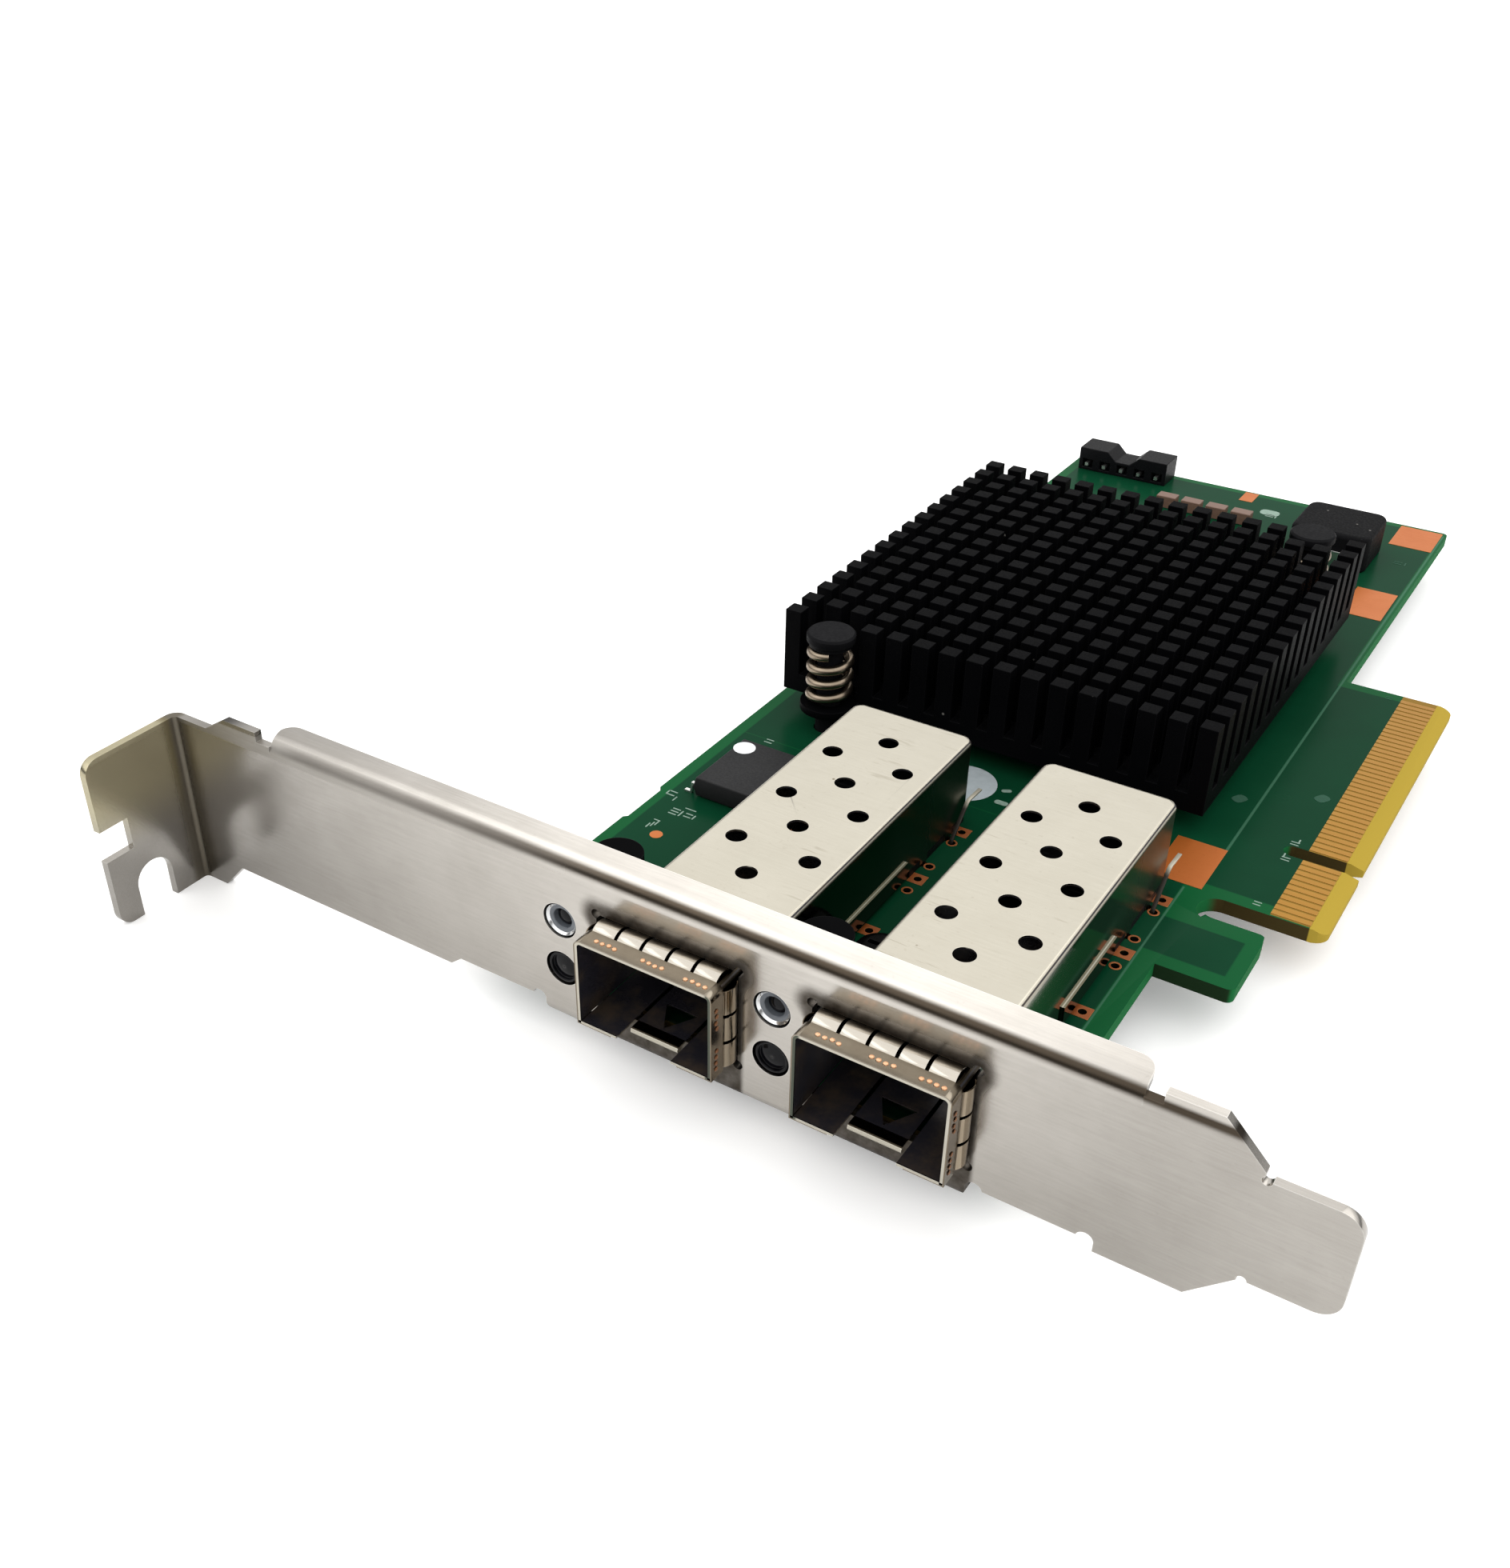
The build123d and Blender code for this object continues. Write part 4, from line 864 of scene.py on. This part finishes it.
def makePinSpring(nodeName, pieceName, startAngle):
    look = pinSpring
    low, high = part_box(nodeName)
    centre = (low + high) / 2
    half = mm(look["wire"]) / 2
    wire = addPiece(bpy.ops.mesh.primitive_circle_add, vertices=look["sidesOfWire"], radius=half,
                    fill_type="NOTHING", location=(0, 0, 0), rotation=(math.radians(90), 0, 0))
    editAll()
    bpy.ops.transform.translate(value=((high.x - low.x) / 2 - half, 0, 0))
    leaveEdit()
    steps = int(look["stepsPerTurn"] * look["turns"])
    applyModifier(wire, "SCREW", axis="Z", angle=math.radians(360 * look["turns"]), iterations=1,
                  screw_offset=high.z - low.z - mm(look["wire"]), steps=steps, render_steps=steps,
                  use_normal_calculate=True)
    bpy.ops.object.mode_set(mode="EDIT")
    bpy.ops.mesh.select_mode(type="EDGE")
    bpy.ops.mesh.select_all(action="DESELECT")
    bpy.ops.mesh.select_non_manifold()
    bpy.ops.mesh.fill_holes(sides=0)
    closeMesh()
    wire.location = (centre.x, centre.y, low.z + half)
    wire.rotation_euler = (0, 0, math.radians(startAngle))
    applyPlace(wire)
    smooth(wire, 50)
    finishPiece(wire, pieceName, springMaterial, "bronze_wire", nodeName)


makePinSpring("pin_spring_front", "front_pin_spring", 150)
makePinSpring("pin_spring_rear", "rear_pin_spring", 40)
print("push-pin springs wound")

weldCopper = {
    "dark": (0.80, 0.36, 0.16), "light": (1.00, 0.66, 0.42), "rubbed": (1.00, 0.82, 0.66),
    "grain": (0.2, 0.9, 0.3), "edge": 0.03, "rough": (0.34, 0.18), "relief": 0.003, "metal": 0.30,
    # painted shade dulls the spots below the collar's top
    "sideRise": (12.6, 12.3), "sideShade": (0.26, 0.20, 0.15),
}
weldMaterial, weldSurface, weldPlace, weldTone, _ = metalFinish("heatTintedWeld", weldCopper)
# painted shade on the weld spots below the collar's top
shadedWelds = span(cardPlace(weldPlace)[2], weldCopper["sideRise"])
dress(weldSurface, color=tinted(shadedWelds, weldTone, weldCopper["sideShade"]))

# weld spots on the spring collars
weldSpots = {
    "across": 0.50,
    "rise": 0.55,
    "sunk": 0.01,
    "step": 0.645,
    "count": 4,
    "topGroups": (-4.24, 0.60, 5.00),
    "topPlace": (-2.86, 13.17),
    "topWander": 0.10,
    "sideGroups": (10.2, 5.8),
    "sidePlace": (7.12, -2.95),
    "sideWander": 0.08,
    "seed": 7,
}


def makeWeldSpots(pieceName, middle):
    look = weldSpots
    chance = random.Random(look["seed"])
    spot = addPiece(bpy.ops.mesh.primitive_uv_sphere_add, segments=12, ring_count=8,
                    radius=mm(look["across"] / 2), location=(0, 0, 0))
    editAll()
    bpy.ops.transform.resize(value=(1, 1, look["rise"]))
    bpy.ops.mesh.bisect(plane_co=(0, 0, -mm(look["sunk"])), plane_no=(0, 0, -1), clear_outer=True, use_fill=True)
    leaveEdit()
    smooth(spot, 60)
    shifts = [(index - (look["count"] - 1) / 2) * look["step"] for index in range(look["count"])]
    places = []
    y, z = look["topPlace"]
    for group in look["topGroups"]:
        for shift in shifts:
            wander = chance.uniform(-look["topWander"], look["topWander"])
            places.append((at(middle + group + shift, y + wander, z), 0))
    x, y = look["sidePlace"]
    for side in (-1, 1):
        for group in look["sideGroups"]:
            for shift in shifts:
                wander = chance.uniform(-look["sideWander"], look["sideWander"])
                places.append((at(middle + side * x, y + wander, group + shift), side * math.radians(90)))
    spots = []
    for place, turn in places:
        twin = copyOf(spot)
        twin.location = place
        twin.rotation_euler = (0, turn, 0)
        applyPlace(twin)
        spots.append(twin)
    bpy.data.objects.remove(spot)
    finishPiece(joinPieces(spots), pieceName, weldMaterial, "copper")


makeWeldSpots("left_collar_weld_spots", card["cageMiddles"][0])
makeWeldSpots("right_collar_weld_spots", card["cageMiddles"][1])
print("weld spots placed")

# bare pads and rings round the spare holes beside each cage
sparePads = {
    "offset": 7.75,
    "hole": 0.84,
    "square": 1.70,
    "ring": 1.22,
    "foil": 0.045,
    "soft": 0.012,
    "sides": 28,
    "squareY": (23.1, 33.3, 43.4),
    "ringY": (31.0, 35.9, 41.0),
}


def makePad(x, y, square):
    look = sparePads
    place = at(x, y, card["boardTop"])
    if square:
        pad = addPiece(bpy.ops.mesh.primitive_plane_add, size=mm(look["square"]), location=place)
    else:
        pad = addPiece(bpy.ops.mesh.primitive_circle_add, vertices=look["sides"], radius=mm(look["ring"] / 2),
                       fill_type="NGON", location=place)
    editAll()
    extrudeBy(0, 0, look["foil"])
    closeMesh()
    clearSelection()
    bpy.ops.mesh.primitive_cylinder_add(vertices=look["sides"], radius=mm(look["hole"] / 2), depth=mm(1), location=place)
    cutter = bpy.context.object
    applyModifier(pad, "BOOLEAN", operation="DIFFERENCE", object=cutter, solver="EXACT")
    bpy.data.objects.remove(cutter)
    addBevel(pad, look["soft"], 1, 50)
    smooth(pad, 40)
    return pad


def makePadRow(pieceName, middle):
    look = sparePads
    pads = []
    for side in (-1, 1):
        for square, rows in ((True, look["squareY"]), (False, look["ringY"])):
            model = makePad(middle + side * look["offset"], rows[0], square)
            pads.append(model)
            for y in rows[1:]:
                twin = copyOf(model)
                twin.data.transform(Matrix.Translation((0, mm(y - rows[0]), 0)))
                pads.append(twin)
    finishPiece(joinPieces(pads), pieceName, padCopperMaterial, "copper")


makePadRow("left_spare_pads", card["cageMiddles"][0])
makePadRow("right_spare_pads", card["cageMiddles"][1])
print("spare pads laid")

# small marks on the board: x, y, length, width and turn of each stroke
boardMarks = {
    "ink": 0.03,
    "cornerShare": 0.35,
    "strokes": [
        (40.6, 26.4, 0.9, 0.16, 90), (40.9, 26.8, 0.9, 0.16, 90), (41.2, 27.2, 0.9, 0.16, 90), (40.9, 27.7, 0.8, 0.14, 0),
        (39.2, 32.6, 1.1, 0.16, 0), (39.2, 33.3, 1.1, 0.16, 0), (38.7, 33.0, 0.8, 0.16, 90), (40.1, 32.2, 0.9, 0.14, 90),
        (41.5, 29.6, 1.0, 0.16, 0), (41.5, 30.1, 1.0, 0.16, 0), (41.5, 30.6, 1.0, 0.16, 0), (42.3, 30.1, 1.1, 0.16, 90),
        (43.2, 29.9, 0.9, 0.16, 0), (43.2, 30.5, 0.9, 0.16, 0), (43.9, 30.2, 0.8, 0.16, 90), (42.8, 31.3, 1.4, 0.14, 0),
        (40.4, 45.6, 0.9, 0.16, 90), (40.9, 46.0, 0.9, 0.16, 90), (42.3, 47.9, 1.0, 0.16, 0), (42.3, 48.5, 1.0, 0.16, 0),
        (99.0, 47.8, 0.8, 0.15, 0), (99.0, 48.3, 0.8, 0.15, 0), (99.0, 57.0, 0.9, 0.15, 0), (99.0, 57.5, 0.9, 0.15, 0),
        (98.7, 57.9, 0.7, 0.15, 90), (99.0, 60.3, 0.9, 0.15, 0), (99.0, 60.8, 0.9, 0.15, 0), (99.3, 61.2, 0.7, 0.15, 90),
        (98.9, 70.8, 1.7, 1.3, 60), (91.4, 65.9, 1.7, 1.3, 60), (99.2, 97.4, 0.8, 0.15, 0), (99.2, 97.9, 0.8, 0.15, 0),
        (70.2, 144.2, 1.2, 0.18, 0), (70.2, 144.9, 1.2, 0.18, 0), (71.1, 144.5, 1.0, 0.18, 90), (90.3, 137.5, 1.1, 0.18, 0),
        (90.3, 138.2, 1.1, 0.18, 0), (91.3, 137.8, 1.0, 0.18, 90), (75.6, 12.0, 0.9, 0.15, 0), (75.6, 30.5, 0.9, 0.15, 0),
        (69.9, 145.6, 2.8, 2.0, 0), (69.6, 53.4, 1.1, 0.6, 30), (70.1, 50.9, 1.5, 0.8, 0),
    ],
}
boardInk = {
    "dark": (0.13, 0.22, 0.17), "light": (0.34, 0.44, 0.38),
    "noise": (3200.0, 3.0, 0.6), "rough": (0.5, 0.7), "shine": 0.12, "relief": 0.004,
    # the marks behind the key notch are fainter than the rest
    "faintDark": (0.012, 0.062, 0.034), "faintLight": (0.040, 0.115, 0.075),
    "faintAcross": (86, 88), "faintAlong": (63, 64),
}


def makeInk():
    look = boardInk
    material, surface, place, tone, grain = plainFinish("paleBoardInk", look)
    across, along, rise = cardPlace(place)
    faint = mixColor(grain, look["faintDark"], look["faintLight"])
    farSide = span(across, look["faintAcross"]) * span(along, look["faintAlong"])
    dress(surface, color=mixColor(farSide, tone, faint))
    return material


def makeStroke(x, y, length, width, turn):
    look = boardMarks
    stroke = addPiece(bpy.ops.mesh.primitive_plane_add, size=1, location=at(x, y, card["boardTop"]),
                      rotation=(0, 0, math.radians(turn)), scale=(mm(length), mm(width), 1))
    editAll()
    bpy.ops.mesh.bevel(offset=mm(width * look["cornerShare"]), segments=2, affect="VERTICES")
    bpy.ops.mesh.select_all(action="SELECT")
    extrudeBy(0, 0, look["ink"])
    closeMesh()
    return stroke


strokes = [makeStroke(*stroke) for stroke in boardMarks["strokes"]]
finishPiece(joinPieces(strokes), "board_ink_marks", makeInk(), "solder_mask")

whitePaint = {
    "dark": (0.70, 0.71, 0.73), "light": (0.86, 0.87, 0.89),
    "noise": (1500.0, 3.0, 0.5), "rough": (0.35, 0.35), "relief": 0.02,
}
paintMaterial, *_ = plainFinish("whitePaintDot", whitePaint)
discPaint = dict(whitePaint, dark=(0.40, 0.46, 0.48), light=(0.56, 0.62, 0.65))
discMaterial, *_ = plainFinish("paleBoardDisc", discPaint)

roundSpots = [
    # name, material, slot, x, y, z of the face below, across and thickness
    ("aiming_spot_front", copperMaterial, "copper", 42.36, 25.42, 3.11, 1.4, 0.05),
    ("chip_paint_dot", paintMaterial, "moulded_black", 42.9, 41.9, 5.56, 2.5, 0.10),
    ("white_board_disc", discMaterial, "solder_mask", 64.9, 52.4, 3.11, 7.4, 0.04),
]
spotCrown = {"sides": 40, "wall": 0.5, "insets": ((0.10, 0.35), (0.14, 0.15))}


def makeRoundSpot(name, material, slotName, x, y, z, across, thick):
    # a disc with a soft crown
    look = spotCrown
    spot = addPiece(bpy.ops.mesh.primitive_circle_add, vertices=look["sides"], radius=mm(across / 2),
                    fill_type="NGON", location=at(x, y, z))
    editAll()
    extrudeBy(0, 0, thick * look["wall"])
    for inward, upward in look["insets"]:
        bpy.ops.mesh.inset(thickness=mm(across * inward))
        bpy.ops.transform.translate(value=(0, 0, mm(thick * upward)))
    closeMesh()
    smooth(spot, 60)
    finishPiece(spot, name, material, slotName)


for row in roundSpots:
    makeRoundSpot(*row)
print("board marks laid")

# clear lamps with their inner eye
clearLamp = {
    "sides": 40, "rim": 0.22, "faceDrop": 0.26, "bore": 2.0, "boreDepth": 0.62,
    "lip": 0.12, "lipDrop": 0.08, "soft": 0.04, "eyeRise": 0.45, "eyeGap": 0.04,
}
rimGlint = {
    "dark": (0.62, 0.63, 0.64), "light": (0.86, 0.87, 0.88),
    "noise": (1800.0, 3.0, 0.5), "rough": (0.08, 0.18), "relief": 0.003, "metal": 0.9,
}
rimMaterial, *_ = plainFinish("lampRimGlint", rimGlint)


def makeClearLamp(nodeName, pieceName, eyeName):
    look = clearLamp
    low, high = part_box(nodeName)
    middle = (low + high) / 2
    radius = (high.x - low.x) / 2
    lamp = addPiece(bpy.ops.mesh.primitive_cylinder_add, vertices=look["sides"], radius=radius,
                    depth=high.y - low.y, location=middle, rotation=(math.radians(90), 0, 0))
    editPart(lamp, "FACE", lambda face: face.normal.y < -0.9)
    bpy.ops.mesh.inset(thickness=mm(look["rim"]))
    bpy.ops.transform.translate(value=(0, mm(look["faceDrop"]), 0))
    bpy.ops.mesh.inset(thickness=radius - mm(look["rim"] + look["bore"] / 2 + look["lip"]))
    bpy.ops.mesh.inset(thickness=mm(look["lip"]))
    bpy.ops.transform.translate(value=(0, mm(look["lipDrop"]), 0))
    extrudeBy(0, look["boreDepth"], 0)
    leaveEdit()
    addBevel(lamp, look["soft"])
    smooth(lamp, 50)
    finishPiece(lamp, pieceName, clearLampMaterial, "clear_lamp", nodeName)
    # the sloped rim glints, the rest is smoky
    lamp.data.materials.append(rimMaterial)
    for face in lamp.data.polygons:
        reach = math.hypot(face.center.x - middle.x, face.center.z - middle.z)
        inRim = reach > radius - mm(look["rim"]) and face.center.y < low.y + mm(look["faceDrop"])
        if inRim and abs(face.normal.y) < 0.97:
            face.material_index = 1
    # the dark eye at the bottom of the bore
    floor = (middle.x, low.y + mm(look["faceDrop"] + look["lipDrop"] + look["boreDepth"]), middle.z)
    eye = addPiece(bpy.ops.mesh.primitive_uv_sphere_add, segments=28, ring_count=14,
                   radius=mm(look["bore"] / 2 - look["eyeGap"]), location=floor)
    editAll()
    bpy.ops.transform.resize(value=(1, look["eyeRise"], 1))
    bpy.ops.mesh.bisect(plane_co=floor, plane_no=(0, 1, 0), clear_outer=True, use_fill=True)
    leaveEdit()
    smooth(eye, 60)
    finishPiece(eye, eyeName, darkLampMaterial, "dark_lamp")


makeClearLamp("upper_lamp_left", "left_upper_lamp", "left_upper_lamp_eye")
makeClearLamp("upper_lamp_right", "right_upper_lamp", "right_upper_lamp_eye")
print("clear lamps turned")

# bent leads at the cages' rear corners
cornerLead = {
    "aside": 7.6,
    "width": 0.42,
    "sheet": 0.18,
    "soft": 0.04,
    # y and z of the lead's bends, from its hole in the board to its free end
    "route": ((41.05, 2.90), (41.25, 3.35), (44.30, 6.25), (44.75, 6.42), (47.50, 6.25)),
}
leadMetal = {
    # brown stem, tinned only at its free end
    "stem": ((0.016, 0.013, 0.010), (0.050, 0.042, 0.032)), "tip": ((0.40, 0.37, 0.29), (0.62, 0.58, 0.47)),
    "dipped": (43.7, 44.5), "grain": (0.4, 0.6, 0.3), "metal": 0.5, "rough": (0.5, 0.36), "relief": 0.003,
}


def makeLeadMetal():
    look = leadMetal
    material, surface, place = startMaterial("dippedCornerLead")
    grain, height = useGroup(sheetGrain, place, *look["grain"])
    dipped = span(cardPlace(place)[1], look["dipped"])
    tone = mixColor(dipped, mixColor(grain, *look["stem"]), mixColor(grain, *look["tip"]))
    rough = rangeNode(grain, *finish["metalSpan"], *look["rough"], "LINEAR")
    dress(surface, color=tone, rough=rough, metal=look["metal"])
    addBump(surface, height, look["relief"])
    return material


leadMaterial = makeLeadMetal()


def makeCornerLead(pieceName, middle):
    look = cornerLead
    (y, z), *bends = look["route"]
    lead = addPiece(bpy.ops.mesh.primitive_plane_add, size=mm(look["width"]), location=at(middle + look["aside"], y, z))
    editAll()
    bpy.ops.transform.resize(value=(1, 0.05, 1))
    leaveEdit()
    corners = lead.data.vertices
    far = max(corner.co.y for corner in corners) - 1e-7
    editPart(lead, "EDGE", lambda edge: all(corners[index].co.y > far for index in edge.vertices))
    for nextY, nextZ in bends:
        extrudeBy(0, nextY - y, nextZ - z)
        y, z = nextY, nextZ
    leaveEdit()
    applyModifier(lead, "SOLIDIFY", thickness=mm(look["sheet"]), offset=0.0)
    addBevel(lead, look["soft"])
    smooth(lead, 45)
    finishPiece(lead, pieceName, leadMaterial, "tin")


makeCornerLead("left_corner_lead", card["cageMiddles"][0])
makeCornerLead("right_corner_lead", card["cageMiddles"][1])

# black strips under the cage walls, standing in as painted shade for the shadow in the gap there
wallShade = {"front": 33.0, "rear": 45.4, "thick": 0.13, "height": 1.03, "aside": 6.875, "soft": 0.04}


def makeWallShades(pieceName, middle):
    look = wallShade
    strips = []
    for side in (-1, 1):
        place = at(middle + side * look["aside"], (look["front"] + look["rear"]) / 2, card["boardTop"])
        strip = addPiece(bpy.ops.mesh.primitive_plane_add, size=1, location=place,
                         scale=(mm(look["thick"]), mm(look["rear"] - look["front"]), 1))
        editAll()
        extrudeBy(0, 0, look["height"])
        closeMesh()
        addBevel(strip, look["soft"])
        smooth(strip, 45)
        strips.append(strip)
    finishPiece(joinPieces(strips), pieceName, portMaterial, "moulded_black")


makeWallShades("left_cage_wall_shades", card["cageMiddles"][0])
makeWallShades("right_cage_wall_shades", card["cageMiddles"][1])
print("leads bent, wall shades laid")

floorLook = {
    "size": 6.0, "color": (0.90, 0.90, 0.90), "fibreColor": (0.93, 0.93, 0.93),
    "fibre": (60.0, 4.0, 0.5), "rough": 0.9, "shine": 0.1, "glow": 0.24,
}


def makeFloor():
    look = floorLook
    floor = addPiece(bpy.ops.mesh.primitive_plane_add, size=look["size"], location=(0, 0, 0))
    floor.name = "studio_floor"
    material, surface, place = startMaterial("whitePaperFloor")
    tone = mixColor(noiseNode(place, *look["fibre"]), look["color"], look["fibreColor"])
    dress(surface, color=tone, rough=look["rough"], shine=look["shine"])
    # the sweep is lit a little past white, as on a light table
    seen = source(place.tree, "ShaderNodeLightPath", "Is Camera Ray")
    feed(surface.inputs["Emission Color"], (1.0, 1.0, 1.0))
    feed(surface.inputs["Emission Strength"], seen * look["glow"])
    floor.data.materials.append(material)


makeFloor()

studioLight = {
    # how bright the sky is at each height, from the horizon to the zenith
    "heights": ((0.0, 0.22), (0.19, 0.22), (0.34, 1.30), (0.60, 1.50), (1.0, 1.35)),
    "strength": 1.50, "skyTint": (1.0, 0.995, 0.985), "seenWhite": 1.1,
    # name, place, size, power and colour of each softbox
    "softboxes": [
        ("key_softbox", (0.45, 0.55, 0.95), 0.9, 2.2, (1.0, 0.99, 0.97)),
        ("fill_softbox", (-0.55, -0.50, 0.60), 0.7, 1.0, (0.98, 0.99, 1.0)),
    ],
}


def makeSky():
    look = studioLight
    world = bpy.data.worlds.new("softWhiteStudio")
    bpy.context.scene.world = world
    world.use_nodes = True
    tree = world.node_tree
    tree.nodes.clear()
    x, y, z = splitPlace(source(tree, "ShaderNodeTexCoord", "Generated"))
    ramp = addNode(tree, "ShaderNodeValToRGB")
    feed(ramp.inputs["Fac"], most(z, 0.0))
    stops = ramp.color_ramp.elements
    while len(stops) < len(look["heights"]):
        stops.new(0.5)
    for stop, (height, level) in zip(stops, look["heights"]):
        stop.position = height
        stop.color = (*[level / look["strength"] * part for part in look["skyTint"]], 1)
    mix = addNode(tree, "ShaderNodeMixShader")
    feed(mix.inputs["Fac"], source(tree, "ShaderNodeLightPath", "Is Camera Ray"))
    skies = ((Wire(ramp.outputs["Color"]), look["strength"]), ((1.0, 1.0, 1.0), look["seenWhite"]))
    for index, (color, strength) in enumerate(skies):
        sky = addNode(tree, "ShaderNodeBackground")
        feed(sky.inputs["Color"], color)
        feed(sky.inputs["Strength"], strength)
        feed(mix.inputs[index + 1], Wire(sky.outputs[0]))
    feed(addNode(tree, "ShaderNodeOutputWorld").inputs["Surface"], Wire(mix.outputs[0]))


def makeSoftbox(name, place, size, power, color):
    data = bpy.data.lights.new(name, "AREA")
    data.shape = "SQUARE"
    data.size = size
    data.energy = power
    data.color = color
    lamp = bpy.data.objects.new(name, data)
    bpy.context.scene.collection.objects.link(lamp)
    lamp.location = place
    lamp.rotation_euler = (-Vector(place)).to_track_quat("-Z", "Y").to_euler()


makeSky()
for row in studioLight["softboxes"]:
    makeSoftbox(*row)

viewpoint = {
    "place": (0.064576, -0.159655, 0.101910),
    "turn": (56.3122, 0.0430, 33.3723),
    "lens": 37.196,
    "sensor": 36.0,
    "shift": (0.02995, 0.02418),
}


def makeCamera():
    look = viewpoint
    data = bpy.data.cameras.new("product_camera")
    data.lens = look["lens"]
    data.sensor_width = look["sensor"]
    data.sensor_fit = "AUTO"
    data.shift_x, data.shift_y = look["shift"]
    data.clip_start = 0.005
    data.clip_end = 20.0
    camera = bpy.data.objects.new("product_camera", data)
    bpy.context.scene.collection.objects.link(camera)
    camera.location = look["place"]
    camera.rotation_euler = [math.radians(angle) for angle in look["turn"]]
    bpy.context.scene.camera = camera


makeCamera()
bpy.context.scene.view_settings.view_transform = "Standard"
bpy.context.scene.view_settings.look = "None"
print("floor, light and camera set")
